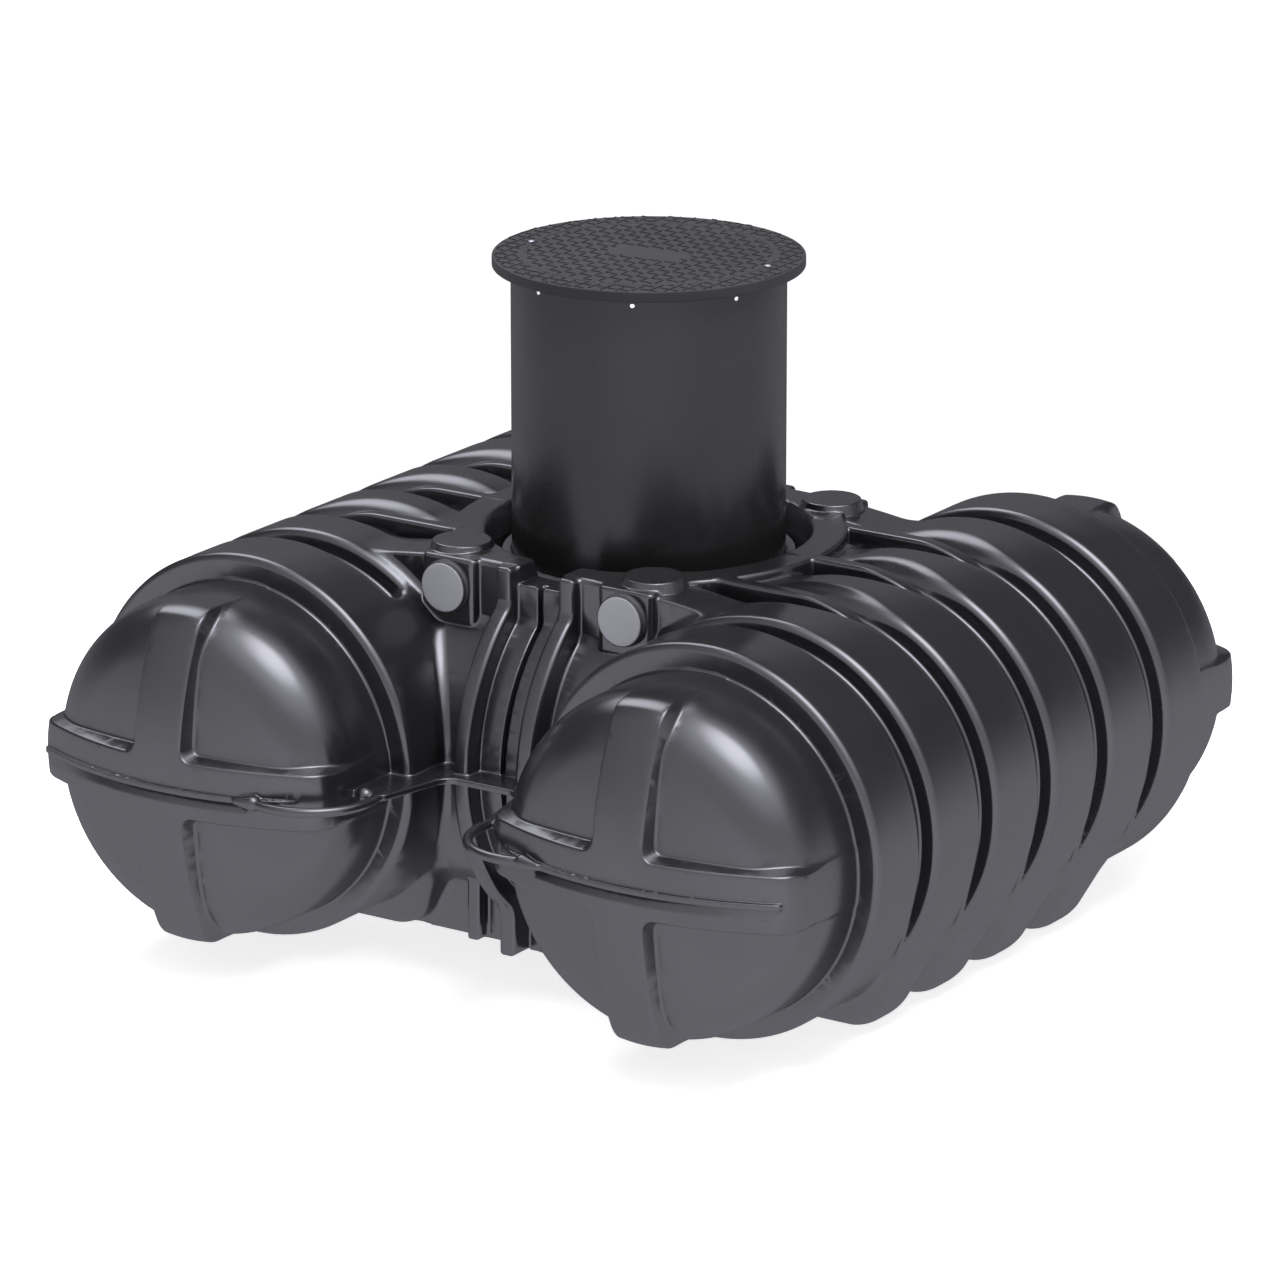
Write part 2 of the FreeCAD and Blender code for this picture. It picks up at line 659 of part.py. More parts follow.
def deck_wing():
    """A wedge that runs out from the deck's corner and slopes down to the barrel."""
    side, seat = "size.deck_half_width + size.fit_gap", "size.deck_half_width - size.deck_thickness"
    bend, tip = f"{AXIS_X} - size.wing_bend_inset", f"{AXIS_X} - size.wing_tip_inset"
    body = doc.addObject("PartDesign::Body", "deck_wing")
    profile = outline(body, "deck_wing_side", "XZ_Plane", [
        (seat, DECK_UNDER), (seat, DECK_TOP), (bend, DECK_TOP), (tip, f"{DECK_TOP} - size.wing_fall"),
        (tip, BULGE_TOP), (side, BULGE_TOP), (side, DECK_UNDER)])
    middle = f"({COLLAR_FRONT} + size.wing_proud - size.wing_width / 2)"
    return place(pad_both_ways(body, profile, "size.wing_width"), "0", f"-{middle}")


def deck():
    rise = (DECK_UNDER, DECK_TOP)
    plate = collar_form("deck_plate", "0", "0", DECK_UNDER, DECK_TOP)
    inlet_tops = [block(f"inlet_top_{i}", about(f"{sign}{INLET_X}", "2 * size.inlet_half_width"),
                        about("0", f"2 * {DECK_FRONT}"), rise) for i, sign in enumerate(("-", ""))]
    ridge_length = f"2 * ({COLLAR_FRONT} + size.collar_ridge_proud)"
    ridge_tops = [block(f"ridge_top_{i}", width, about("0", ridge_length), rise)
                  for i, width in enumerate(RIDGES)]
    wing = deck_wing()
    front_wings = fuse("front_wings", wing, reflect(wing, ACROSS_X))
    tray = fuse("tray", *notch_blocks("tray_end", "size.deck_thickness", TRAY_UNDER))
    solid = fuse("deck_solid", plate, *inlet_tops, *ridge_tops, front_wings, reflect(front_wings, ACROSS_Y),
                 tray)
    well = rod("deck_hole", "size.well_radius + size.well_wall", "2 * size.collar_height", z=BULGE_TOP)
    collar_room = collar_form("collar_room", "-size.fit_gap", "-size.fit_gap", BULGE_TOP, DECK_UNDER)
    wings_room = cut("wings_room", collar_room, tray)
    return cut("deck", solid, wings_room, well, notch, barrel_room)


node(deck(), "collar_deck")


def boss(name, sign_x, sign_y):
    """A low round pad on the deck, drawn in a little towards its top."""
    piece = doc.addObject("Part::Cone", name)
    tie(piece, Radius1="size.boss_radius", Radius2="size.boss_top_radius", Height="size.boss_height")
    return place(piece, f"{sign_x}(size.deck_half_width - size.boss_inset)",
                 f"{sign_y}({COLLAR_FRONT} - size.boss_setback)", DECK_TOP)


bosses = [boss(f"boss_{x}{y}", sign_x, sign_y)
          for x, sign_x in enumerate(("-", "")) for y, sign_y in enumerate(("-", ""))]
node(fuse("bosses", *bosses), "deck_bosses")


# Bridges: ribs that run level from the deck over each barrel's crown and slope into its grooves

def bridges():
    low = f"{PARTING} + size.rib_radius / 2"
    end = f"{AXIS_X} + size.bridge_past_crown"
    tip = f"{end} + size.bridge_slope"
    side = [("size.deck_half_width", low), ("size.deck_half_width", DECK_TOP), (end, DECK_TOP),
            (tip, f"{DECK_TOP} - size.groove_depth"), (tip, low)]
    bars = []
    for i, sign in enumerate(("-1", "0", "1")):
        body = doc.addObject("PartDesign::Body", f"bridge_{i}")
        sketch = outline(body, f"bridge_{i}_side", "XZ_Plane", side)
        pad_both_ways(body, sketch, "size.bridge_width")
        place(body, "0", f"{sign} * {RIB_PITCH}")
        bars.append(body)
    deck_room = rod("deck_room", "size.deck_ring_radius + size.fit_gap", "size.rib_radius", z=PARTING)
    return cut("bridges", fuse("bridge_bars", *bars), deck_room, groove_room)


right_bridges = node(bridges(), "right_bridge_ribs")
mirror(right_bridges, "left_bridge_ribs", ACROSS_X)


# Inlets: a square block on the collar with a bore, closed by a flanged plug on a ring seal

def inlet_block():
    width = about(INLET_X, "2 * size.inlet_half_width")
    solid = block("inlet_solid", width, (f"-{DECK_FRONT}", f"-{COLLAR_FRONT}"),
                  (f"{DECK_TOP} - size.inlet_block_height", DECK_UNDER))
    bulge = bulge_rod("inlet_bulge", "size.bulge_radius + size.fit_gap")
    return cut("inlet", solid, bores, bulge, barrel_room)


def inlet_ring(name, outer, inner, first, last):
    """A ring round the inlet's axis, between two distances from the middle of the tank."""
    length = f"({last}) - ({first})"
    rim = rod(name + "_rim", outer, length, INLET_X, f"-({last})", INLET_Z, ALONG_Y)
    hole = rod(name + "_hole", inner, length, INLET_X, f"-({last})", INLET_Z, ALONG_Y)
    return cut(name, rim, hole)


SEAL_FACE = f"{DECK_FRONT} + size.seal_thickness"
PLUG_FACE = f"{SEAL_FACE} + size.plug_thickness"

four_corners(inlet_block(), "inlet_block")
four_corners(inlet_ring("inlet_seal", "size.seal_radius", "size.inlet_bore", DECK_FRONT, SEAL_FACE),
             "inlet_seal")
plug_flange = rod("plug_flange", "size.plug_radius", "size.plug_thickness", INLET_X, f"-({PLUG_FACE})",
                  INLET_Z, ALONG_Y)
plug_spigot = inlet_ring("plug_spigot", "size.inlet_bore - size.fit_gap",
                         "size.inlet_bore - size.fit_gap - size.plug_wall",
                         f"{SEAL_FACE} - size.plug_spigot_length", SEAL_FACE)
four_corners(fuse("plug", plug_flange, plug_spigot), "inlet_plug")


# Shaft well: a stepped ring in the deck, on whose lower shelf the riser shaft stands

def depth(drop):
    return f"{DECK_TOP} - ({drop})"


shelf_under = depth("size.well_depth + size.shelf_thickness")
neck_under = depth("size.neck_depth + size.shelf_thickness")
WINDOW_X = "(size.neck_radius - size.well_window_inset)"
well_ring = turned("well_ring", "XZ_Plane", "V_Axis", [
    ("size.well_radius", DECK_TOP),
    ("size.well_radius + size.well_wall", DECK_TOP),
    ("size.well_radius + size.well_wall", shelf_under),
    ("size.neck_radius + size.well_wall", shelf_under),
    ("size.neck_radius + size.well_wall", neck_under),
    ("size.shelf_radius", neck_under),
    ("size.shelf_radius", depth("size.neck_depth")),
    ("size.neck_radius", depth("size.neck_depth")),
    ("size.neck_radius", depth("size.well_depth")),
    ("size.well_radius", depth("size.well_depth"))])
WINDOW_ENDS = (("-size.well_radius", f"-{WINDOW_X}"), (WINDOW_X, "size.well_radius"))
well_windows = [block(f"well_window_{i}", ends, about("0", "2 * size.well_radius"),
                      (neck_under, depth("size.well_window_drop")))
                for i, ends in enumerate(WINDOW_ENDS)]
node(cut("well", well_ring, *well_windows, barrel_room, notch), "shaft_well")

node(turned("lip_seal", "XZ_Plane", "V_Axis", [
    ("size.shaft_radius + size.fit_gap", depth("size.well_depth")),
    ("size.neck_radius - size.fit_gap", depth("size.well_depth")),
    ("size.neck_radius - size.fit_gap", depth("size.well_depth + size.lip_height")),
    ("size.shaft_radius + size.fit_gap", depth("size.well_depth + size.lip_height / 2"))]), "shaft_lip_seal")


# Riser shaft and its screwed cover

SHAFT_END = f"{DECK_TOP} + size.shaft_top"
node(turned("riser_shaft", "XZ_Plane", "V_Axis", [
    ("size.shaft_radius - size.shaft_wall", depth("size.neck_depth")),
    ("size.shaft_radius", depth("size.neck_depth")),
    ("size.shaft_radius", SHAFT_END),
    ("size.shaft_radius - size.shaft_wall", SHAFT_END)]), "riser_shaft")


def cover():
    top = f"{SHAFT_END} + size.cover_thickness"
    spigot = "size.shaft_radius - size.shaft_wall - size.spigot_gap"
    spigot_foot = f"{SHAFT_END} - size.cover_spigot_depth"
    body = turned("cover", "XZ_Plane", "V_Axis", [
        ("0", SHAFT_END),
        (f"{spigot} - size.cover_spigot_wall", SHAFT_END),
        (f"{spigot} - size.cover_spigot_wall", spigot_foot),
        (spigot, spigot_foot),
        (spigot, SHAFT_END),
        ("size.cover_radius", SHAFT_END),
        ("size.cover_radius", f"{top} - size.cover_edge"),
        ("size.cover_radius - size.cover_edge", top),
        ("0", top)])
    recesses = [rod(f"screw_recess_{i}", "size.screw_recess_radius", "2 * size.screw_recess_depth",
                    f"{sign}size.screw_ring * cos(size.screw_turn)",
                    f"{sign}size.screw_ring * sin(size.screw_turn)",
                    f"{top} - size.screw_recess_depth")
                for i, sign in enumerate(("-", ""))]
    slots = [block(f"key_slot_{i}", about("0", "size.key_slot_length"),
                   about(f"{sign}size.key_slot_ring", "size.key_slot_width"),
                   (f"{top} - size.key_slot_depth", top))
             for i, sign in enumerate(("-", ""))]
    return cut("screwed_cover", body, *recesses, *slots)


node(cover(), "shaft_cover")


# Feet: lobes under the inner ribs of each barrel, flat where they stand and drawn in at both ends

def feet():
    half, flat = "(size.rib_radius - size.foot_inset)", "(size.rib_radius - size.foot_flat_inset)"
    shoulder = f"({half} + {flat}) / 2"
    profile = [(f"-{half}", PARTING), (f"-{shoulder}", "size.foot_shoulder"), (f"-{flat}", "0"), (flat, "0"),
               (shoulder, "size.foot_shoulder"), (half, PARTING)]
    lobes = []
    for i, count in enumerate((-1.5, -0.5, 0.5, 1.5)):
        body = doc.addObject("PartDesign::Body", f"foot_{i}")
        pad_both_ways(body, outline(body, f"foot_{i}_side", "XZ_Plane", profile), "size.foot_width")
        lobes.append(place(body, AXIS_X, f"{count} * {RIB_PITCH}"))
    return cut("feet", fuse("foot_lobes", *lobes), barrel_room)


right_feet = node(feet(), "right_feet")
mirror(right_feet, "left_feet", ACROSS_X)

doc.recompute()

faults = [piece.Name for piece in doc.Objects if "Invalid" in piece.State or "Error" in piece.State]
faults += [piece.Label for piece in nodes if piece.Shape.isNull() or not piece.Shape.isValid()]
if faults:
    raise RuntimeError("failed: " + ", ".join(faults))

os.makedirs("parts", exist_ok=True)
for piece in nodes:
    piece.Shape.exportStep(os.path.join("parts", piece.Label + ".step"))
    box = piece.Shape.BoundBox
    print(f"{piece.Label:24s} solids {len(piece.Shape.Solids)} volume {piece.Shape.Volume / 1e6:9.3f} l "
          f"x {box.XMin:8.1f} {box.XMax:8.1f} y {box.YMin:8.1f} {box.YMax:8.1f} "
          f"z {box.ZMin:8.1f} {box.ZMax:8.1f}")
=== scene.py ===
import math

import bmesh
import bpy
import numpy as np
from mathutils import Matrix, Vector


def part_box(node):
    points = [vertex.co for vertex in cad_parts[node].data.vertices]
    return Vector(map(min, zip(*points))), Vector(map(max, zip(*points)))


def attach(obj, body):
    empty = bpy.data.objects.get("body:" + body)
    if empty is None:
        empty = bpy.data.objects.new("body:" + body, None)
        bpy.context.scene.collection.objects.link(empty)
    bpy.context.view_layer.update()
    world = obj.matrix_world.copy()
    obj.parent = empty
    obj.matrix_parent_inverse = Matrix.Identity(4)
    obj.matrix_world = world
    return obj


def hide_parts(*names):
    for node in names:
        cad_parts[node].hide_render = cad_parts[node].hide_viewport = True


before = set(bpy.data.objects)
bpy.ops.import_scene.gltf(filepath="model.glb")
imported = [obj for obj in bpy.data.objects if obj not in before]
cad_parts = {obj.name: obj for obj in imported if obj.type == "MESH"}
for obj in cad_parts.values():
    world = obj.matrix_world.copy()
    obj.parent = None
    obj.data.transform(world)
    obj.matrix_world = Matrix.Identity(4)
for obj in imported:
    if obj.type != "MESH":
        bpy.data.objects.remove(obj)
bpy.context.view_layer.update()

# Barrels. Two ribbed polyethylene tubes, blown in one piece with everything up to the deck.
# A shape is a function that gives the distance to its surface, less than nothing inside. It is
# worked out over a quarter of the tank: x across, v to the front, h over the parting plane.
PARTING = 0.545
AXIS = 0.706
RIB = 0.515
RIB_EDGE = 0.02
BARREL_END = 0.82
GROOVE_DEPTH = 0.05
GROOVE_FLOOR = 0.068
GROOVE_SLOPE = 0.12
GROOVE_FOOT = 0.008
GROOVE_RISE = 0.03
GROOVE_START = (-64, -14)
BRIDGED_GROOVES = (0.0, 0.29)
BRIDGED_GROOVE_STOP = 150
END_GROOVE = 0.58
END_GROOVE_STOP = 124
CROWN = (58, 90)
CROWN_EDGE = 0.07
CROWN_WIDENING = 0.01


def join(a, b, fillet):
    """Both shapes, with a round fillet in the angle between them."""
    filling = np.hypot(np.maximum(fillet - a, 0), np.maximum(fillet - b, 0))
    return np.maximum(fillet, np.minimum(a, b)) - filling


def meet(a, b, edge):
    """What two shapes share, with a rounded edge."""
    rounding = np.hypot(np.maximum(edge + a, 0), np.maximum(edge + b, 0))
    return np.minimum(-edge, np.maximum(a, b)) + rounding


def slab(u, low, high):
    """What lies between two values."""
    return np.maximum(low - u, u - high)


def ramp(u, low, high):
    """From 0 at the low value to 1 at the high one, smooth at both ends."""
    t = np.clip((u - low) / (high - low), 0, 1)
    return t * t * (3 - 2 * t)


def barrel(x, v, h):
    across = np.hypot(x - AXIS, h)
    turn = np.degrees(np.arctan2(h, x - AXIS))
    tube = meet(across - RIB, v - BARREL_END, RIB_EDGE)
    depth = (GROOVE_DEPTH + GROOVE_RISE) * ramp(turn, *GROOVE_START) - GROOVE_RISE
    lean = math.hypot(1, GROOVE_SLOPE)
    for middle in BRIDGED_GROOVES + (END_GROOVE,):
        bridged = middle in BRIDGED_GROOVES
        crown = ramp(turn, *CROWN) * bridged
        past = np.maximum(np.radians(turn - (BRIDGED_GROOVE_STOP if bridged else END_GROOVE_STOP)) * RIB, 0)
        aside = np.hypot(v - middle, past) - GROOVE_FLOOR / 2 - CROWN_WIDENING * crown
        wall = (aside - (across - RIB + depth) * GROOVE_SLOPE) / lean
        groove = meet(RIB - depth - across, wall, GROOVE_FOOT)
        tube = meet(tube, -groove, RIB_EDGE + (CROWN_EDGE - RIB_EDGE) * crown)
    return tube


# Domed ends. Each barrel is closed by a shallow dome with a broad raised cross, which leaves four
# sunk panels. Its foot is a nearly straight rim, which meets the first rib in a small fillet.
BAND = (1.22, 0.465, 0.956, 0.11)
PANEL = (1.173, 0.46, 1.25, 0.19)
PANEL_CORNER = 0.035
PANEL_EDGE = 0.006
DOME_DROP = 0.0065
DOME_BACK = 0.79
CROSS_HALF_WIDTH = 0.072
CROSS_HALF_HEIGHT = 0.074
CROSS_SLOPE = 0.28
CROSS_WALL = (-0.02, 0.06)
RIM = 0.461
RIM_FRONT = 0.95
RIM_DRAFT = 0.02
RIM_EDGE = 0.03


def cap(across, v, reach, radius, crown, knuckle):
    """A dome of a flat crown and a tighter knuckle, on a straight rim."""
    run = math.sqrt((crown - knuckle) ** 2 - (radius - knuckle) ** 2)
    spring = reach - crown + run
    on_crown = across * run < (radius - knuckle) * (v - reach + crown)
    crown_part = np.hypot(across, v - reach + crown) - crown
    knuckle_part = np.hypot(across - radius + knuckle, v - spring) - knuckle
    return np.where(v > spring, np.where(on_crown, crown_part, knuckle_part), across - radius)


def off_axis(x, h):
    """How far a point is from the axis of the dome, which lies a little under the barrel's."""
    return np.hypot(x - AXIS, h + DOME_DROP)


def dome(x, v, h):
    across = off_axis(x, h)
    band = cap(across, v, *BAND)
    cross = meet(CROSS_HALF_WIDTH - np.abs(x - AXIS), CROSS_HALF_HEIGHT - np.abs(h), PANEL_CORNER)
    cross = (cross + CROSS_SLOPE * np.clip(-band, *CROSS_WALL)) / math.hypot(1, CROSS_SLOPE)
    panel = meet(cross, -cap(across, v, *PANEL), PANEL_EDGE)
    rim = across - RIM - RIM_DRAFT * (v - RIM_FRONT)
    shell = meet(meet(band, -panel, PANEL_EDGE), rim, RIM_EDGE)
    return np.maximum(shell, DOME_BACK - v)


# Seam. The two halves of the mould close on the parting plane: a bead with a channel under it goes
# round each dome, and a flat web joins the domes across the front of the saddle.
SEAM_HALF = 0.0085
SEAM_EDGE = 0.004
BEAD_PROUD = 0.011
BEAD_RISE = (0.30, 0.40)
BEAD_SPAN = (0.31, AXIS + 0.425)
BEAD_END_EDGE = 0.006
BEAD_BACK = 0.9
CHANNEL_DEPTH = 0.016
CHANNEL_FOOT = -0.036
CHANNEL_TOP = 0.001 - SEAM_HALF
CHANNEL_SLOPE = 0.026
CHANNEL_FADE = 0.7
CHANNEL_FADE_SPAN = (AXIS + 0.05, AXIS + 0.40)
CHANNEL_SPAN = (0.44, AXIS + 0.42)
CHANNEL_EDGE = 0.003
CHANNEL_END_EDGE = 0.01
CHANNEL_BACK = 0.95
WEB_FRONT = 0.764
WEB_END = 0.985
WEB_REACH = 0.45
WEB_SIDE_AT = (0.117, 0.786)
WEB_SIDE_WAY = (0.9746, 0.2238)
WEB_FILLET = 0.035
WEB_END_EDGE = 0.02


def bead(x, v, h):
    proud = BEAD_PROUD * ramp(x, *BEAD_RISE)
    bar = meet(np.abs(h) - SEAM_HALF, cap(off_axis(x, h), v, *BAND) - proud, SEAM_EDGE)
    return np.maximum(meet(bar, slab(x, *BEAD_SPAN), BEAD_END_EDGE), BEAD_BACK - v)


def channel(x, v, h):
    fade = 1 - CHANNEL_FADE * ramp(x, *CHANNEL_FADE_SPAN)
    depth = CHANNEL_DEPTH * np.clip((h - CHANNEL_FOOT) / CHANNEL_SLOPE, 0, 1) * fade
    sunk = -cap(off_axis(x, h), v, *BAND) - depth
    hollow = meet(slab(h, CHANNEL_FOOT, CHANNEL_TOP), sunk, CHANNEL_EDGE)
    return np.maximum(meet(hollow, slab(x, *CHANNEL_SPAN), CHANNEL_END_EDGE), CHANNEL_BACK - v)


def web(x, v, h):
    side = (WEB_SIDE_AT[0] - x) * WEB_SIDE_WAY[0] + (v - WEB_SIDE_AT[1]) * WEB_SIDE_WAY[1]
    plan = np.maximum(join(side, v - WEB_FRONT, WEB_FILLET), x - WEB_REACH)
    return meet(np.abs(h) - SEAM_HALF, meet(plan, v - WEB_END, WEB_END_EDGE), SEAM_EDGE)


# Lifting loops. A round bar stands out in the parting plane at the inner corner of each dome, with a
# small cone at either end, where it springs from the seam and from the web.
LOOP_AT = (0.346, 1.03)
LOOP_RADIUS = 0.172
LOOP_BAR = 0.013
LOOP_BACK = 0.973
LOOP_CONES = (((0.416, 1.191), (0.462, 1.200), 0.021, 0.010), ((0.212, 0.985), (0.222, 0.94), 0.024, 0.012))
LOOP_FILLET = 0.004


def loop(x, v, h):
    ring = np.hypot(np.hypot(x - LOOP_AT[0], v - LOOP_AT[1]) - LOOP_RADIUS, h) - LOOP_BAR
    ring = np.maximum(ring, LOOP_BACK - v)
    for (ax, av), (bx, bv), thick, thin in LOOP_CONES:
        length = (bx - ax) ** 2 + (bv - av) ** 2
        t = np.clip(((x - ax) * (bx - ax) + (v - av) * (bv - av)) / length, 0, 1)
        cone = np.sqrt((x - ax - t * (bx - ax)) ** 2 + (v - av - t * (bv - av)) ** 2 + h * h)
        ring = join(ring, cone - thick - t * (thin - thick), LOOP_FILLET)
    return ring


# Collar and deck. An upright wall round the shaft's well, closed by a flat deck with a round edge.
# A shelf slopes from the deck down to each rib, and ribs bridge it level to the barrels' crowns.
DECK = 0.512
DECK_EDGE = 0.010
DECK_DRUM = 0.52
DECK_HALF_WIDTH = 0.357
COLLAR_FRONT = 0.49
COLLAR_CORNER = 0.02
COLLAR_FILLET = 0.03
COLLAR_FOOT = 0.1
SHELF_FRONT = 0.505
SHELF_END = 0.6
SHELF_BEND = 0.425
SHELF_BEND_ROUND = 0.06
SHELF_FALL = 0.2456
SHELF_GAP = 0.062
SHELF_CORNER = 0.01
SHELF_EDGE = 0.014
SHELF_FILLET = 0.006
BRIDGE_HALF = 0.023
BRIDGE_EDGE = 0.011
BRIDGE_SPAN = (0.4, 0.98)
BRIDGE_FOOT = 0.3
BRIDGE_BEND = 0.748
BRIDGE_BEND_ROUND = 0.05
BRIDGE_FALL = 0.64
WELL = 0.432
WELL_DRAFT = 0.42
NECK_FLOOR = 0.40
NECK_EDGE = 0.008
NOTCH_HALF = 0.068
NOTCH_SPAN = (0.38, 0.65)
NOTCH_FLOOR = 0.466
NOTCH_EDGE = 0.006
NOTCH_FILLET = 0.012


def nearest(v, middles):
    """How far a point is from the nearest of a row of middles."""
    return np.min([np.abs(v - middle) for middle in middles], 0)


def falling(x, h, bend, fall, roundness):
    """Level with the deck up to a bend, and sloping down past it."""
    return meet(h - DECK, (h - DECK + fall * (x - bend)) / math.hypot(1, fall), roundness)


def collar(x, v, h):
    drum = meet(np.hypot(x, v) - DECK_DRUM, v - COLLAR_FRONT, COLLAR_CORNER)
    square = meet(x - DECK_HALF_WIDTH, v - COLLAR_FRONT, COLLAR_CORNER)
    body = meet(join(drum, square, COLLAR_FILLET), h - DECK, DECK_EDGE)
    plan = meet(SHELF_GAP - nearest(v, BRIDGED_GROOVES), v - SHELF_FRONT, SHELF_CORNER)
    top = falling(x, h, SHELF_BEND, SHELF_FALL, SHELF_BEND_ROUND)
    shelf = meet(meet(plan, top, SHELF_EDGE), x - SHELF_END, SHELF_CORNER)
    return np.maximum(join(body, shelf, SHELF_FILLET), COLLAR_FOOT - h)


def bridges(x, v, h):
    top = falling(x, h, BRIDGE_BEND, BRIDGE_FALL, BRIDGE_BEND_ROUND)
    length = np.maximum(top, slab(x, *BRIDGE_SPAN))
    return np.maximum(meet(nearest(v, BRIDGED_GROOVES) - BRIDGE_HALF, length, BRIDGE_EDGE), BRIDGE_FOOT - h)


def well(x, v, h):
    bowl = (np.hypot(x, v) - WELL + WELL_DRAFT * (DECK - h)) / math.hypot(1, WELL_DRAFT)
    notch = meet(meet(slab(v, *NOTCH_SPAN), NOTCH_FLOOR - h, NOTCH_EDGE), x - NOTCH_HALF, NOTCH_EDGE)
    return join(meet(bowl, NECK_FLOOR - h, NECK_EDGE), notch, NOTCH_FILLET)


# Saddle. The chamber between the barrels has a bulging front, two broad ridges up its middle and
# finer ribs between them, and stands on an upright skirt. A strip stands proud by three measures,
# on the collar, on the bulge and on the skirt.
BULGE_AT = 0.207
BULGE = 0.46
BULGE_FILLET = 0.014
SKIRT_FRONT = 0.437
SKIRT_WALL = 0.022
SKIRT_FILLET = 0.02
FLOOR_UNDER = -0.375
FLOOR_EDGE = 0.008
GROUND = -PARTING
SADDLE_BEND = 0.4
SADDLE_SWEEP = 0.25
SADDLE_END = 0.62
SADDLE_END_EDGE = 0.01
RIDGE = (0.0715, 0.1215)
RIDGE_PROUD = (0.044, 0.066, 0.09)
RIDGE_EDGE = 0.013
RIDGE_FILLET = 0.010
SKIRT_RIDGE = (0.218, 0.262)
SKIRT_RIDGE_PROUD = 0.037
SKIRT_RIDGE_TOP = -0.36
SKIRT_RIDGE_EDGE = 0.014
SHOULDER_PROUD = (0.010, 0.012, 0.02)
SHOULDER_EDGE = 0.004
SHOULDER_FILLET = 0.006
CENTRE_RIB = (0.008, 0.038)
CENTRE_RIB_PROUD = (0.005, 0.004, 0.02)
CENTRE_RIB_EDGE = 0.005
CENTRE_RIB_FILLET = 0.004
SLOT_HALF = 0.006
SLOT_PROUD = (-0.010, -0.010, 0)
SLOT_FOOT = 0.003
SLOT_EDGE = 0.004


def front(v, h, upper, bulge, skirt):
    """The saddle's front from the ground up: skirt, bulge and the collar over it."""
    round_part = np.hypot(v - BULGE_AT, h) - BULGE - bulge
    lower = np.maximum(v - SKIRT_FRONT - skirt, slab(h, GROUND, 0.0))
    return join(join(round_part, upper, BULGE_FILLET), lower, SKIRT_FILLET)


def strip(v, h, proud, bulge, skirt):
    """A rib that stands proud of the whole front."""
    upper = meet(np.maximum(v - COLLAR_FRONT - proud, -h), h - DECK, DECK_EDGE)
    return front(v, h, upper, bulge, skirt)


def saddle(x, v, h):
    swept = v + SADDLE_SWEEP * np.maximum(x - SADDLE_BEND, 0)
    body = meet(front(swept, h, collar(x, v, h), 0, 0), x - SADDLE_END, SADDLE_END_EDGE)
    ridge = meet(strip(v, h, *RIDGE_PROUD), slab(x, *RIDGE), RIDGE_EDGE)
    outer = np.maximum(v - SKIRT_FRONT - SKIRT_RIDGE_PROUD, slab(h, GROUND, SKIRT_RIDGE_TOP))
    skirt_ridge = meet(outer, slab(x, *SKIRT_RIDGE), SKIRT_RIDGE_EDGE)
    body = join(join(body, ridge, RIDGE_FILLET), skirt_ridge, RIDGE_FILLET)
    shoulder = meet(strip(v, h, *SHOULDER_PROUD), x - RIDGE[0], SHOULDER_EDGE)
    rib = meet(strip(v, h, *CENTRE_RIB_PROUD), slab(x, *CENTRE_RIB), CENTRE_RIB_EDGE)
    body = join(join(body, shoulder, SHOULDER_FILLET), rib, CENTRE_RIB_FILLET)
    slot = meet(x - SLOT_HALF, -strip(v, h, *SLOT_PROUD), SLOT_FOOT)
    body = meet(body, -np.maximum(slot, h - DECK), SLOT_EDGE)
    under = np.maximum(h - FLOOR_UNDER, v - SKIRT_FRONT + SKIRT_WALL)
    return np.maximum(meet(body, -under, FLOOR_EDGE), GROUND - h)


# Inlet blocks and bosses. Each corner of the deck has a square block whose face takes a pipe, and a
# low round pad over it that an adapter can be set on.
BLOCK = (0.191, 0.357)
BLOCK_FRONT = 0.527
BLOCK_BACK = 0.3
BLOCK_FOOT = 0.335
BLOCK_EDGE = 0.018
BOSS_AT = (0.298, 0.4265)
BOSS = 0.0825
BOSS_TOP = 0.0774
BOSS_HEIGHT = 0.0196
BOSS_EDGE = 0.004
BOSS_FOOT = 0.45
BOSS_LEAN = 0.97


def inlet_block(x, v, h):
    face = meet(slab(x, *BLOCK), v - BLOCK_FRONT, BLOCK_EDGE)
    return np.maximum(meet(face, slab(h, BLOCK_FOOT, DECK), DECK_EDGE), BLOCK_BACK - v)


def boss(x, v, h):
    away = np.hypot(x - BOSS_AT[0], v - BOSS_AT[1])
    side = (away - BOSS + (h - DECK) * (BOSS - BOSS_TOP) / BOSS_HEIGHT) * BOSS_LEAN
    return np.maximum(meet(side, h - DECK - BOSS_HEIGHT, BOSS_EDGE), BOSS_FOOT - h)


# Feet. A rounded lobe under each of the four inner ribs, on which a barrel stands.
# They are part of the moulding, and their sides widen upward so that the mould lets go of them.
FEET = (0.145, 0.435)
FOOT_HALF_LENGTH = 0.2985
FOOT_END_SLOPE = 0.5
FOOT_HALF_WIDTH = 0.088
FOOT_SIDE_SLOPE = 0.28
FOOT_ROUND = 0.07
FOOT_TOP = -0.31
FOOT_TOP_EDGE = 0.03


def feet(x, v, h):
    over_ground = h - GROUND
    along = np.abs(x - AXIS) - FOOT_HALF_LENGTH - FOOT_END_SLOPE * over_ground
    aside = nearest(v, FEET) - FOOT_HALF_WIDTH - FOOT_SIDE_SLOPE * over_ground
    plan = meet(along / math.hypot(1, FOOT_END_SLOPE), aside / math.hypot(1, FOOT_SIDE_SLOPE), FOOT_ROUND)
    return meet(meet(plan, -over_ground, FOOT_ROUND), h - FOOT_TOP, FOOT_TOP_EDGE)


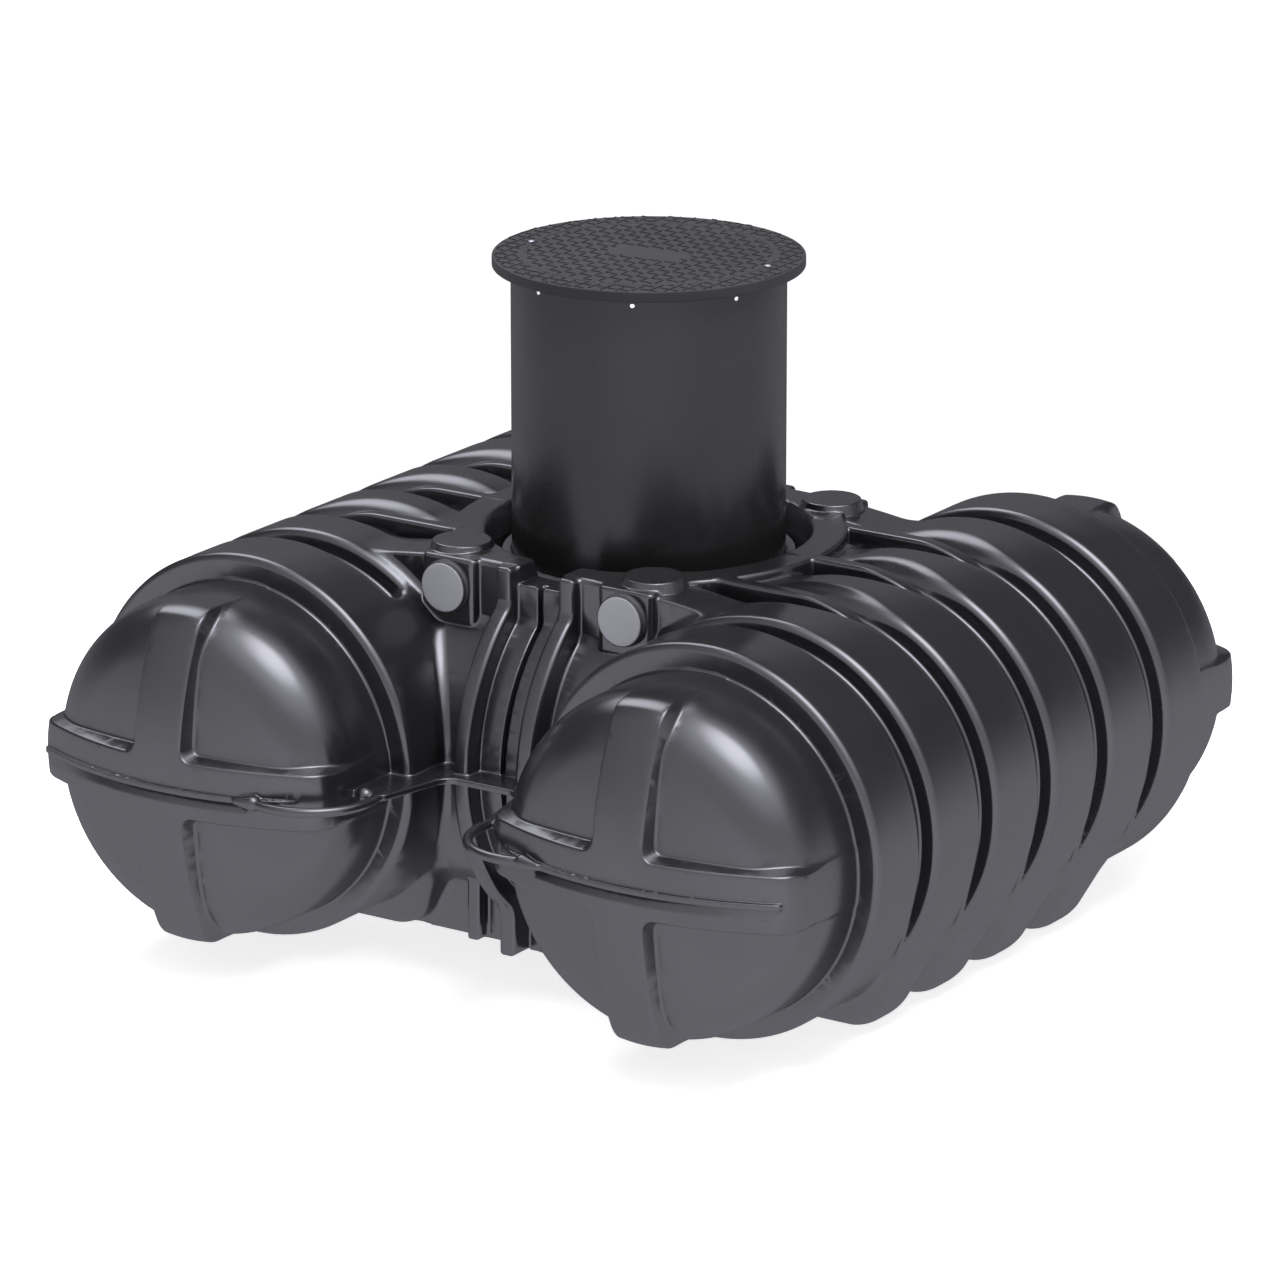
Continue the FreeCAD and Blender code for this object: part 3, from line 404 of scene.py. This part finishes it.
# Moulding. Everything above is one hollow moulding of black polyethylene: the shapes are run together
# with the fillets that such a mould has, and skinned as one piece, a quarter that is mirrored twice.
CELL = 0.0042
BLOCK_CELLS = 8
NEAR_BLOCKS = 1.3
BLOCKS_AT_ONCE = 1500
QUARTER_LOW = (-CELL / 2, -CELL / 2, GROUND - 2.5 * CELL)
QUARTER_HIGH = (1.235, 1.245, 0.55)
QUARTER_TRIANGLES = 62000
LONGEST_EDGE = 0.045
LONGEST_MOVE = 0.004
LEAST_SLOPE = 0.2
MIRROR_REACH = 0.3 * CELL
FILLETS = {"saddle": 0.026, "block": 0.008, "bridge": 0.008, "boss": 0.006, "foot": 0.025, "channel": 0.003,
           "dome": 0.011, "bead": 0.003, "web": 0.006, "loop": 0.005}


def moulding(points):
    x, v, h = np.abs(points[:, 0]), np.abs(points[:, 1]), points[:, 2]
    body = join(barrel(x, v, h), saddle(x, v, h), FILLETS["saddle"])
    body = join(body, inlet_block(x, v, h), FILLETS["block"])
    body = join(body, bridges(x, v, h), FILLETS["bridge"])
    body = join(body, boss(x, v, h), FILLETS["boss"])
    body = meet(body, -well(x, v, h), DECK_EDGE)
    body = join(body, feet(x, v, h), FILLETS["foot"])
    ends = meet(dome(x, v, h), -channel(x, v, h), FILLETS["channel"])
    body = join(body, ends, FILLETS["dome"])
    body = join(body, bead(x, v, h), FILLETS["bead"])
    body = join(body, web(x, v, h), FILLETS["web"])
    body = join(body, loop(x, v, h), FILLETS["loop"])
    return np.maximum(body, GROUND - h)


def sample(shape, points, size=1_500_000):
    """The shape's distance at each point, worked out some points at a time."""
    return np.concatenate([shape(points[i:i + size].astype(np.float32)) for i in range(0, len(points), size)])


def skin(shape, low, high, cell):
    """One vertex for each cell that the surface crosses, and a quad for each crossed edge."""
    low, high = np.array(low), np.array(high)
    blocks = np.ceil((high - low) / (cell * BLOCK_CELLS)).astype(int)
    span = cell * BLOCK_CELLS
    middles = low + (np.indices(blocks).reshape(3, -1).T + 0.5) * span
    coarse = sample(shape, middles)
    near = np.abs(coarse) < span * NEAR_BLOCKS
    values = coarse.reshape(blocks)
    for axis in range(3):
        values = np.repeat(values, BLOCK_CELLS, axis)
    values = np.pad(values, ((0, 1),) * 3, mode="edge")
    step = np.indices((BLOCK_CELLS + 1,) * 3).reshape(3, -1).T
    for start in np.array_split(np.argwhere(near.reshape(blocks)), max(1, near.sum() // BLOCKS_AT_ONCE)):
        corners = (start[:, None, :] * BLOCK_CELLS + step[None]).reshape(-1, 3)
        values[tuple(corners.T)] = sample(shape, low + corners * cell)
    cells = np.array(values.shape) - 1
    owners, spots, quads = [], [], []
    for axis in range(3):
        a = tuple(slice(None, -1) if k == axis else slice(None) for k in range(3))
        b = tuple(slice(1, None) if k == axis else slice(None) for k in range(3))
        at = np.argwhere((values[a] < 0) != (values[b] < 0))
        ahead = at + np.eye(3, dtype=int)[axis]
        from_value, to_value = values[tuple(at.T)], values[tuple(ahead.T)]
        spot = at.astype(float)
        spot[:, axis] += from_value / (from_value - to_value)
        second, third = (axis + 1) % 3, (axis + 2) % 3
        flat, inside = [], np.ones(len(at), bool)
        for db, dc in ((-1, -1), (0, -1), (0, 0), (-1, 0)):
            cell_at = at.copy()
            cell_at[:, second] += db
            cell_at[:, third] += dc
            fits = ((cell_at >= 0) & (cell_at < cells)).all(1)
            number = np.where(fits, cell_at @ [cells[1] * cells[2], cells[2], 1], -1)
            owners.append(number[fits])
            spots.append(spot[fits])
            flat.append(number)
            inside &= fits
        quad = np.stack(flat, 1)
        quad[from_value > 0] = quad[from_value > 0][:, ::-1]
        quads.append(quad[inside])
    numbers, place = np.unique(np.concatenate(owners), return_inverse=True)
    spots = np.concatenate(spots)
    total = np.bincount(place)
    vertices = np.stack([np.bincount(place, weights=spots[:, k]) / total for k in range(3)], 1)
    return low + vertices * cell, np.searchsorted(numbers, np.concatenate(quads))


def slope(shape, points, reach=0.0006):
    """The way out of a shape at each point, not yet of length one."""
    sides = []
    for step in reach * np.eye(3):
        sides.append((sample(shape, points + step) - sample(shape, points - step)) / (2 * reach))
    return np.stack(sides, 1)


def settle(shape, points, times):
    """Moves points on to the surface."""
    for _ in range(times):
        way = slope(shape, points)
        off = sample(shape, points) / np.maximum((way ** 2).sum(1), LEAST_SLOPE)
        points = points - np.clip(off, -LONGEST_MOVE, LONGEST_MOVE)[:, None] * way
    return points


def mesh_object(name, vertices, faces):
    mesh = bpy.data.meshes.new(name)
    mesh.from_pydata(vertices.tolist(), [], faces.tolist() if hasattr(faces, "tolist") else faces)
    mesh.update()
    piece = bpy.data.objects.new(name, mesh)
    bpy.context.scene.collection.objects.link(piece)
    return piece


def thinned(vertices, faces, triangles):
    """The same surface in fewer triangles."""
    draft = mesh_object("draft", vertices, faces)
    fewer = draft.modifiers.new("fewer", "DECIMATE")
    fewer.ratio = min(1.0, triangles / (2 * len(faces)))
    fewer.use_collapse_triangulate = True
    mesh = draft.evaluated_get(bpy.context.evaluated_depsgraph_get()).to_mesh()
    points = np.zeros(len(mesh.vertices) * 3)
    mesh.vertices.foreach_get("co", points)
    mesh.calc_loop_triangles()
    corners = np.zeros(len(mesh.loop_triangles) * 3, int)
    mesh.loop_triangles.foreach_get("vertices", corners)
    bpy.data.objects.remove(draft)
    return points.reshape(-1, 3), corners.reshape(-1, 3)


def refined(points, triangles, longest):
    """Splits long edges in two, so that each triangle's shading stays near its corners."""
    while True:
        ends = np.sort(np.stack([triangles, np.roll(triangles, -1, 1)], 2).reshape(-1, 2), 1)
        edges, place = np.unique(ends[:, 0] * len(points) + ends[:, 1], return_inverse=True)
        edges = np.stack([edges // len(points), edges % len(points)], 1)
        is_long = np.linalg.norm(points[edges[:, 0]] - points[edges[:, 1]], axis=1) > longest
        if not is_long.any():
            return points, triangles
        middle = np.where(is_long, len(points) + np.cumsum(is_long) - 1, -1)[place].reshape(-1, 3)
        points = np.concatenate([points, points[edges[is_long]].mean(1)])
        split = (middle >= 0).sum(1)
        first = np.where(split == 1, (middle >= 0).argmax(1), 0)
        first = np.where(split == 2, (middle < 0).argmax(1) + 1, first)
        turn = (first[:, None] + np.arange(3)) % 3
        a, b, c = np.take_along_axis(triangles, turn, 1).T
        ab, bc, ca = np.take_along_axis(middle, turn, 1).T
        parts = {0: [(a, b, c)], 1: [(a, ab, c), (ab, b, c)], 2: [(ab, b, bc), (a, ab, bc), (a, bc, c)],
                 3: [(a, ab, ca), (ab, b, bc), (ca, bc, c), (ab, bc, ca)]}
        triangles = np.concatenate([np.stack(part, 1)[split == count]
                                    for count in parts for part in parts[count]])


quarter, quads = skin(moulding, QUARTER_LOW, QUARTER_HIGH, CELL)
quarter = settle(moulding, quarter, 2)
quarter, triangles = thinned(quarter, quads, QUARTER_TRIANGLES)
quarter[:, :2][np.abs(quarter[:, :2]) < MIRROR_REACH] = 0
quarter, triangles = refined(quarter, triangles, LONGEST_EDGE)
quarter = settle(moulding, quarter, 2)
quarter[:, 2] = np.maximum(quarter[:, 2], GROUND)
out = slope(moulding, quarter)
out /= np.linalg.norm(out, axis=1)[:, None]


def half_tank(name, end):
    """Two quarters as one closed piece, with its cut across the middle of the tank filled in."""
    vertices, normals, faces = [], [], []
    for side in (1, -1):
        faces.append((triangles if side * end > 0 else triangles[:, ::-1]) + len(quarter) * len(faces))
        vertices.append(quarter * [side, end, 1] + [0, 0, PARTING])
        normals.append(out * [side, end, 1])
    vertices, normals, faces = np.concatenate(vertices), np.concatenate(normals), np.concatenate(faces)
    _, first, place = np.unique(np.round(vertices, 6), axis=0, return_index=True, return_inverse=True)
    vertices, normals, faces = vertices[first], normals[first], place.reshape(-1)[faces]
    whole = (faces[:, 0] != faces[:, 1]) & (faces[:, 1] != faces[:, 2]) & (faces[:, 0] != faces[:, 2])
    piece = mesh_object(name, vertices, faces[whole])
    bm = bmesh.new()
    bm.from_mesh(piece.data)
    cut = bmesh.ops.holes_fill(bm, edges=[edge for edge in bm.edges if edge.is_boundary])
    bmesh.ops.triangulate(bm, faces=cut["faces"])
    bm.to_mesh(piece.data)
    bm.free()
    piece.data.shade_smooth()
    piece.data.normals_split_custom_set_from_vertices(normals.tolist())
    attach(piece, "root")
    return piece


tank = [half_tank("tank_moulding_front", -1), half_tank("tank_moulding_back", 1)]
MOULDED = ("barrel_upper", "barrel_lower", "dome", "seam", "lifting_loop", "saddle", "skirt", "collar",
           "deck", "bridge", "inlet_block", "shaft_well", "feet")
for piece in tank:
    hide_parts(*[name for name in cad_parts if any(word in name for word in MOULDED)])


class Flow:
    """A socket of a shader, so that its sums read as sums."""

    tree = None

    def __init__(self, socket):
        self.socket = socket

    @classmethod
    def node(cls, kind, settings=None, out=0, **values):
        made = cls.tree.nodes.new(kind)
        for name, value in (settings or {}).items():
            setattr(made, name, value)
        for name, value in values.items():
            key = int(name[1:]) if name[1:].isdigit() else name.replace("_", " ")
            socket = made.inputs[key]
            if isinstance(value, Flow):
                cls.tree.links.new(value.socket, socket)
            else:
                socket.default_value = value
        return cls(made.outputs[out])

    @classmethod
    def maths(cls, operation, *values):
        inputs = {f"i{i}": value for i, value in enumerate(values)}
        return cls.node("ShaderNodeMath", {"operation": operation}, **inputs)

    def __add__(self, other):
        return self.maths("ADD", self, other)

    def __radd__(self, other):
        return self.maths("ADD", other, self)

    def __sub__(self, other):
        return self.maths("SUBTRACT", self, other)

    def __rsub__(self, other):
        return self.maths("SUBTRACT", other, self)

    def __mul__(self, other):
        return self.maths("MULTIPLY", self, other)

    def __rmul__(self, other):
        return self.maths("MULTIPLY", other, self)

    def over(self, low, high):
        """How far this is from low to high, from 0 to 1 and smooth at both ends."""
        return self.node("ShaderNodeMapRange", {"interpolation_type": "SMOOTHSTEP"}, Value=self, From_Min=low,
                         From_Max=high)

    def between(self, first, second):
        """A colour that goes from the first to the second as this goes from 0 to 1."""
        return self.node("ShaderNodeMix", {"data_type": "RGBA"}, out=2, i0=self, i6=first, i7=second)


def linear(red, green, blue):
    """A colour as a screen shows it, from 0 to 255, as the shader takes it."""
    parts = [value / 255 for value in (red, green, blue)]
    return tuple(c / 12.92 if c <= 0.04045 else ((c + 0.055) / 1.055) ** 2.4 for c in parts) + (1.0,)


def finish(name):
    """A new material, and the shader in it that light falls on."""
    material = bpy.data.materials.new(name)
    material.use_nodes = True
    Flow.tree = material.node_tree
    return material, material.node_tree.nodes["Principled BSDF"]


def feed(shader, **values):
    for name, value in values.items():
        socket = shader.inputs[name.replace("_", " ")]
        if isinstance(value, Flow):
            Flow.tree.links.new(value.socket, socket)
        else:
            socket.default_value = value


def noise(place, scale, detail=2.0):
    return Flow.node("ShaderNodeTexNoise", Vector=place, Scale=scale, Detail=detail, Roughness=0.5)


def plastic(name, dark, light, gloss, dull, grain, sheen=0.5):
    """Moulded polyethylene: cloudy in tone, a little uneven in shine, with a fine skin."""
    material, shader = finish(name)
    place = Flow.node("ShaderNodeNewGeometry")
    cloud = noise(place, 3.0, 3.0)
    fine = noise(place, 240.0)
    feed(shader, Base_Color=(cloud * 0.75 + fine * 0.25).over(0.3, 0.7).between(dark, light),
         Roughness=gloss + (dull - gloss) * noise(place, 9.0, 4.0).over(0.3, 0.75), IOR=1.5,
         Specular_IOR_Level=sheen,
         Normal=Flow.node("ShaderNodeBump", Height=fine, Strength=grain, Distance=0.0006))
    return material


TANK_BLACK = plastic("tank plastic", linear(28, 28, 30), linear(32, 32, 34), 0.21, 0.26, 0.05)
for piece in tank:
    piece.data.materials.append(TANK_BLACK)

# Inlet seals and plugs. A black rubber ring lies on each block's face, with a lip that stands round the
# grey push-in plug that closes it. Profiles run from a block's face outward.
PLUG_GREY = plastic("plug plastic", linear(162, 162, 169), linear(167, 167, 174), 0.42, 0.5, 0.06)
RUBBER = plastic("seal rubber", linear(18, 18, 19), linear(26, 26, 27), 0.6, 0.75, 0.2)


def turned(name, profile, steps, closed=True):
    """A ring or disc turned about the Z axis from points of radius and height."""
    profile = np.array(profile, float)
    angle = np.linspace(0, 2 * math.pi, steps, endpoint=False)
    rows = np.stack([np.outer(np.cos(angle), profile[:, 0]), np.outer(np.sin(angle), profile[:, 0]),
                     np.tile(profile[:, 1], (steps, 1))], 2)
    count = len(profile)
    faces = []
    for i in range(steps):
        for j in range(count if closed else count - 1):
            a, b = i * count + j, i * count + (j + 1) % count
            c, d = (i + 1) % steps * count + (j + 1) % count, (i + 1) % steps * count + j
            faces.append((a, d, c, b))
    return mesh_object(name, rows.reshape(-1, 3), faces)


def rounded(profile, radius, steps=4):
    """A closed profile with its corners rounded by a radius, or by one radius a corner."""
    points = []
    count = len(profile)
    radii = radius if hasattr(radius, "__len__") else [radius] * count
    for i, corner in enumerate(profile):
        corner, before, after = (Vector(profile[k % count]) for k in (i, i - 1, i + 1))
        one, two = (before - corner), (after - corner)
        if radii[i] <= 0:
            points.append(tuple(corner))
            continue
        half = one.angle(two) / 2
        back = min(radii[i] / math.tan(half), one.length * 0.49, two.length * 0.49)
        first, last = corner + one.normalized() * back, corner + two.normalized() * back
        for k in range(steps + 1):
            t = k / steps
            points.append(tuple(first.lerp(corner, t).lerp(corner.lerp(last, t), t)))
    return points


def finished(piece, node, material, sharp=40):
    piece.data.materials.append(material)
    piece.data.shade_smooth()
    piece.data.set_sharp_from_angle(angle=math.radians(sharp))
    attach(piece, "root")
    if node:
        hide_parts(node)
    return piece


INLET_X = 0.274
INLET_Z = PARTING + DECK - 0.0775
PLUG = 0.0645
PLUG_RIM = PLUG - 0.008
PLUG_BACK = 0.009
PLUG_FACE = 0.025
SEAL = 0.070
SEAL_BORE = 0.052
LIP = 0.067
LIP_BORE = PLUG + 0.0003
LIP_FOOT = 0.012
LIP_FACE = 0.0235
STEPS = 96
SEAL_PROFILE = rounded([(SEAL_BORE, 0.0), (SEAL, 0.0), (SEAL, PLUG_BACK), (LIP, LIP_FOOT), (LIP, LIP_FACE),
                        (LIP_BORE, LIP_FACE), (LIP_BORE, PLUG_BACK), (SEAL_BORE, PLUG_BACK)], 0.001)
PLUG_EDGE = rounded([(PLUG_RIM, PLUG_BACK), (PLUG, PLUG_BACK), (PLUG, PLUG_FACE), (PLUG_RIM, PLUG_FACE)],
                    [0, 0.001, 0.002, 0], 3)
PLUG_PROFILE = [(0.0, PLUG_BACK), (0.050, PLUG_BACK)] + PLUG_EDGE + [(0.0, PLUG_FACE)]
for end, sign_y in (("front", -1), ("back", 1)):
    for side, sign_x in (("left", -1), ("right", 1)):
        seal = turned("seal", SEAL_PROFILE, STEPS)
        plug = turned("plug", PLUG_PROFILE, STEPS, closed=False)
        for piece, kind, slot, material in ((seal, "inlet_seal", "seal_rubber", RUBBER),
                                            (plug, "inlet_plug", "plug_plastic", PLUG_GREY)):
            piece.name = f"{side}_{end}_{kind}_skin"
            piece.rotation_euler = (math.pi / 2 * -sign_y, 0, 0)
            piece.location = (sign_x * INLET_X, sign_y * BLOCK_FRONT, INLET_Z)
            finished(piece, f"{side}_{end}_{kind}", material)

# Riser shaft. A smooth black tube stands in a lip seal in the well's neck; eight small screws near its
# top hold the cover's frame.
shaft_low, shaft_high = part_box("riser_shaft")
SHAFT = 0.359
SHAFT_BORE = SHAFT - 0.012
SHAFT_BLACK = plastic("shaft plastic", linear(27, 27, 28), linear(31, 31, 32), 0.24, 0.3, 0.02, 0.2)
shaft_profile = rounded([(SHAFT_BORE, shaft_low[2]), (SHAFT, shaft_low[2]), (SHAFT, shaft_high[2]),
                         (SHAFT_BORE, shaft_high[2])], 0.002)
shaft = turned("riser_shaft_tube", shaft_profile, STEPS * 2)
finished(shaft, "riser_shaft", SHAFT_BLACK)

lip_low, lip_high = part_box("shaft_lip_seal")
LIP_SEAL_BORE = SHAFT + 0.0004
lip_profile = rounded([(LIP_SEAL_BORE, lip_low[2]), (lip_high[0], lip_low[2]), (lip_high[0], lip_high[2]),
                       (LIP_SEAL_BORE, lip_high[2])], [0.001, 0.001, 0.004, 0.006])
lip = turned("lip_seal_ring", lip_profile, STEPS * 2)
finished(lip, "shaft_lip_seal", RUBBER)


def metal(name, dark, light, dull):
    material, shader = finish(name)
    place = Flow.node("ShaderNodeNewGeometry")
    feed(shader, Base_Color=noise(place, 400.0).over(0.3, 0.7).between(dark, light), Metallic=1.0,
         Roughness=dull + 0.1 * noise(place, 900.0))
    return material


ZINC = metal("zinc", linear(190, 190, 194), linear(225, 225, 228), 0.3)
SHAFT_SCREWS = 8
SHAFT_SCREW_Z = 1.7426
FIRST_SCREW = math.radians(-63.2)
HEAD = rounded([(0.0, 0.0), (0.0062, 0.0), (0.0062, 0.0026), (0.0, 0.0034)], [0, 0, 0.002, 0])
for number in range(SHAFT_SCREWS):
    angle = FIRST_SCREW + number * 2 * math.pi / SHAFT_SCREWS
    screw = turned(f"shaft_screw_{number + 1}", HEAD, 16, closed=False)
    screw.rotation_euler = (0, math.pi / 2, angle)
    screw.location = (SHAFT * math.cos(angle), SHAFT * math.sin(angle), SHAFT_SCREW_Z)
    finished(screw, None, ZINC)

# Cover. A round plastic lid over the shaft, with a raised tread of wavy bars, a ring of crossed bars
# round it and a bare plate in the middle. Four slots take lifting keys, their shaded pockets drawn as
# thin dark plates of painted shade, and two screws lock it.
cover_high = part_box("shaft_cover")[1]
COVER = cover_high[0]
TREAD = 0.0025
TREAD_WIDTH = 0.0038
plate_top = cover_high[2] - TREAD
tread_foot = plate_top - 0.0004
COVER_GREY = plastic("cover plastic", linear(36, 36, 37), linear(42, 42, 43), 0.5, 0.6, 0.12, 0.12)
plate_profile = rounded([(0.0, shaft_high[2]), (COVER, shaft_high[2]), (COVER, plate_top), (0.0, plate_top)],
                        [0, 0.003, 0.004, 0])
plate = turned("cover_plate", plate_profile, STEPS * 2, closed=False)
finished(plate, "shaft_cover", COVER_GREY, 30)


def ribbons(name, lines, width, low, high):
    """Low bars along lines in plan, each with sloping sides."""
    vertices, faces = [], []
    for line in lines:
        line = np.array(line)
        way = np.gradient(line, axis=0)
        way /= np.linalg.norm(way, axis=1)[:, None]
        aside = np.stack([-way[:, 1], way[:, 0]], 1) * width / 2
        start, count = len(vertices), len(line)
        for offset, level in ((1.25, low), (0.75, high), (-0.75, high), (-1.25, low)):
            vertices += [(x, y, level) for x, y in line + aside * offset]
        for row in range(3):
            for i in range(count - 1):
                a = start + row * count + i
                faces.append((a, a + count, a + count + 1, a + 1))
        for i in (0, count - 1):
            end = [start + row * count + i for row in range(4)]
            faces.append(end[::-1] if i == 0 else end)
        last = start + 3 * count
        faces += [(start + i, start + i + 1, last + i + 1, last + i) for i in range(count - 1)]
    return mesh_object(name, np.array(vertices), faces)


def runs(points, keep):
    """The stretches of a line that are kept."""
    found, current = [], []
    for point, good in zip(points, keep):
        if good:
            current.append(point)
        elif current:
            found.append(current)
            current = []
    return [run for run in found + [current] if len(run) > 2]


FIELD = 0.318
WAVE_ROWS = 10
WAVE_PITCH = 0.034
WAVE = 0.012
WAVE_LENGTH = 0.054
WAVE_STEP = 0.0036
WAVE_SHARPNESS = 0.96
BARE_PLATE = (0.105, 0.05)
waves = []
along = np.arange(-FIELD, FIELD + WAVE_STEP, WAVE_STEP)
swing = np.arcsin(WAVE_SHARPNESS * np.sin(2 * math.pi * (along / WAVE_LENGTH))) / math.asin(WAVE_SHARPNESS)
for row in range(-WAVE_ROWS, WAVE_ROWS + 1):
    aside = row * WAVE_PITCH + (WAVE if row % 2 else -WAVE) * swing
    x, y = (along + aside) / math.sqrt(2), (aside - along) / math.sqrt(2)
    keep = (np.hypot(x, y) < FIELD) & ((np.abs(x) > BARE_PLATE[0]) | (np.abs(y) > BARE_PLATE[1]))
    waves += runs(list(zip(x, y)), keep)
tread = ribbons("cover_tread", waves, TREAD_WIDTH, tread_foot, cover_high[2])
finished(tread, None, COVER_GREY)

RING_IN, RING_OUT = 0.336, 0.4015
RING_ROWS = 12
RING_PITCH = 0.036
RING_BAR = 0.72 * RING_PITCH
bars = []
for i in range(-RING_ROWS, RING_ROWS + 1):
    for j in range(-RING_ROWS, RING_ROWS + 1):
        half = np.array([RING_BAR, 0.0] if (i + j) % 2 else [0.0, RING_BAR])
        line = np.array([i, j]) * RING_PITCH + np.linspace(-1, 1, 11)[:, None] * half
        away = np.hypot(line[:, 0], line[:, 1])
        bars += runs(line.tolist(), (away > RING_IN) & (away < RING_OUT))
ring_tread = ribbons("cover_ring_tread", bars, TREAD_WIDTH, tread_foot, cover_high[2])
finished(ring_tread, None, COVER_GREY)

FIELD_RING_TOP = plate_top + 0.001
field_ring = turned("cover_field_ring", [(0.322, tread_foot), (0.331, tread_foot), (0.330, FIELD_RING_TOP),
                                         (0.323, FIELD_RING_TOP)], STEPS * 2)
finished(field_ring, None, COVER_GREY)

KEY_SLOTS = ((0.352, -91, 0.030), (0.352, 89, 0.030), (0.331, -79, 0.016), (0.331, 101, 0.016))
KEY_SLOT_WIDTH = 0.013
slot_lines = []
for away, turn, length in KEY_SLOTS:
    angle = math.radians(turn)
    middle = np.array([away * math.cos(angle), away * math.sin(angle)])
    round_ring = np.array([-math.sin(angle), math.cos(angle)])
    slot_lines.append(middle + np.linspace(-0.5, 0.5, 5)[:, None] * length * round_ring)
# Painted shade: the slots are not cut, and a thin dark plate lies over each one in place of its shaded
# pocket.
key_slot_shade = ribbons("cover_key_slot_shade", slot_lines, KEY_SLOT_WIDTH, plate_top - 0.002, plate_top + 0.0009)
finished(key_slot_shade, None, RUBBER)

COVER_SCREW_AT = 0.333
COVER_HEAD = rounded([(0, -0.001), (0.0085, -0.001), (0.0085, 0.0014), (0, 0.0022)], [0, 0, 0.001, 0])
for number, turn in enumerate((10.5, 190.5)):
    angle = math.radians(turn)
    screw = turned(f"cover_screw_{number + 1}", COVER_HEAD, 24, closed=False)
    screw.location = (COVER_SCREW_AT * math.cos(angle), COVER_SCREW_AT * math.sin(angle), plate_top)
    finished(screw, None, ZINC)

# Floor, light and camera. A pale floor under two large soft lamps. What the plastic mirrors is the
# world alone: a pale ground, two soft boxes overhead and a glow low behind, all far away.
AZIMUTH, ELEVATION, DISTANCE = math.radians(33.5247), math.radians(16.2882), 18.393
FLOOR = 5.0
FLOOR_STEPS = 96
FLOOR_AHEAD = 1.5
floor_edge = []
for number in range(FLOOR_STEPS):
    angle = number * 2 * math.pi / FLOOR_STEPS
    floor_edge.append(FLOOR * Vector((math.cos(angle), math.sin(angle), 0)))
ahead_of_tank = Vector((math.sin(AZIMUTH), -math.cos(AZIMUTH), 0)) * FLOOR_AHEAD
floor_points = np.array([point + ahead_of_tank for point in floor_edge])
floor_mesh = mesh_object("floor", floor_points, [list(range(FLOOR_STEPS))])
material, shader = finish("floor white")
feed(shader, Base_Color=(0.9, 0.9, 0.9, 1), Roughness=0.9, Emission_Color=(1, 1, 1, 1),
     Emission_Strength=0.75)
floor_mesh.data.materials.append(material)
floor_mesh.visible_glossy = False

world = bpy.data.worlds.new("studio")
bpy.context.scene.world = world
world.use_nodes = True
Flow.tree = world.node_tree
background = world.node_tree.nodes["Background"]
rays = Flow.tree.nodes.new("ShaderNodeLightPath")
ray_way = Flow.node("ShaderNodeTexCoord")


def toward(x, y, z):
    """How near a ray's way is to a set one, 1 at most."""
    return Flow.node("ShaderNodeVectorMath", {"operation": "DOT_PRODUCT"}, out=1, i0=ray_way, i1=(x, y, z))


level, ahead = toward(0, 0, 1).over(-0.25, 0.25), toward(0.53, -0.80, 0.28)
right_box, left_box = toward(0.33, -0.15, 0.932), toward(-0.56, 0.27, 0.783)
boxes = 6.5 * right_box.over(0.9, 1.0) + 1.2 * right_box.over(0.65, 0.9) + 6 * left_box.over(0.91, 1.0)
upper = 0.18 + 0.8 * ahead.over(-0.2, 0.8) + boxes + 0.6 * toward(-0.53, 0.80, 0.28).over(0.85, 1.0)
lower = 1.23 + 0.4 * ahead.over(0.5, 0.95)
room = (lower + level * (upper - lower)) * Flow.maths("MINIMUM", 1.56 + 1.46 * ahead, 2.0)
glossy, seen = Flow(rays.outputs["Is Glossy Ray"]), Flow(rays.outputs["Is Camera Ray"])
feed(background, Color=glossy.between((1, 1, 1, 1), (1, 1, 1.12, 1)),
     Strength=seen * 1.05 + (1 - seen) * (glossy * room + (1 - glossy) * 0.35))


def lamp(name, at, aim, size, power):
    light = bpy.data.lights.new(name, "AREA")
    light.shape = "RECTANGLE"
    light.size, light.size_y = size
    light.energy = power
    made = bpy.data.objects.new(name, light)
    bpy.context.scene.collection.objects.link(made)
    made.location = at
    made.rotation_euler = (Vector(aim) - Vector(at)).to_track_quat("-Z", "Y").to_euler()
    made.visible_glossy = False


for name, side in (("right softbox", 1), ("left softbox", -1)):
    lamp(name, (2.6 * side, -0.6, 5.5), (0.2 * side, 0, 0.6), (2.2, 3.0), 240)

PICTURE = 1280
FOCAL_PIXELS = 7022.85
AIM_PIXEL = (648.874, 525.164)
back = Vector((math.sin(AZIMUTH) * math.cos(ELEVATION), -math.cos(AZIMUTH) * math.cos(ELEVATION),
               math.sin(ELEVATION)))
lens = bpy.data.cameras.new("camera")
lens.sensor_width = 36
lens.lens = lens.sensor_width * FOCAL_PIXELS / PICTURE
lens.shift_x = -(AIM_PIXEL[0] - PICTURE / 2) / PICTURE
lens.shift_y = (AIM_PIXEL[1] - PICTURE / 2) / PICTURE
camera = bpy.data.objects.new("camera", lens)
bpy.context.scene.collection.objects.link(camera)
camera.location = back * DISTANCE + Vector((0, 0, PARTING + DECK))
camera.rotation_euler = back.to_track_quat("Z", "Y").to_euler()
bpy.context.scene.camera = camera
bpy.context.scene.view_settings.view_transform = "Standard"
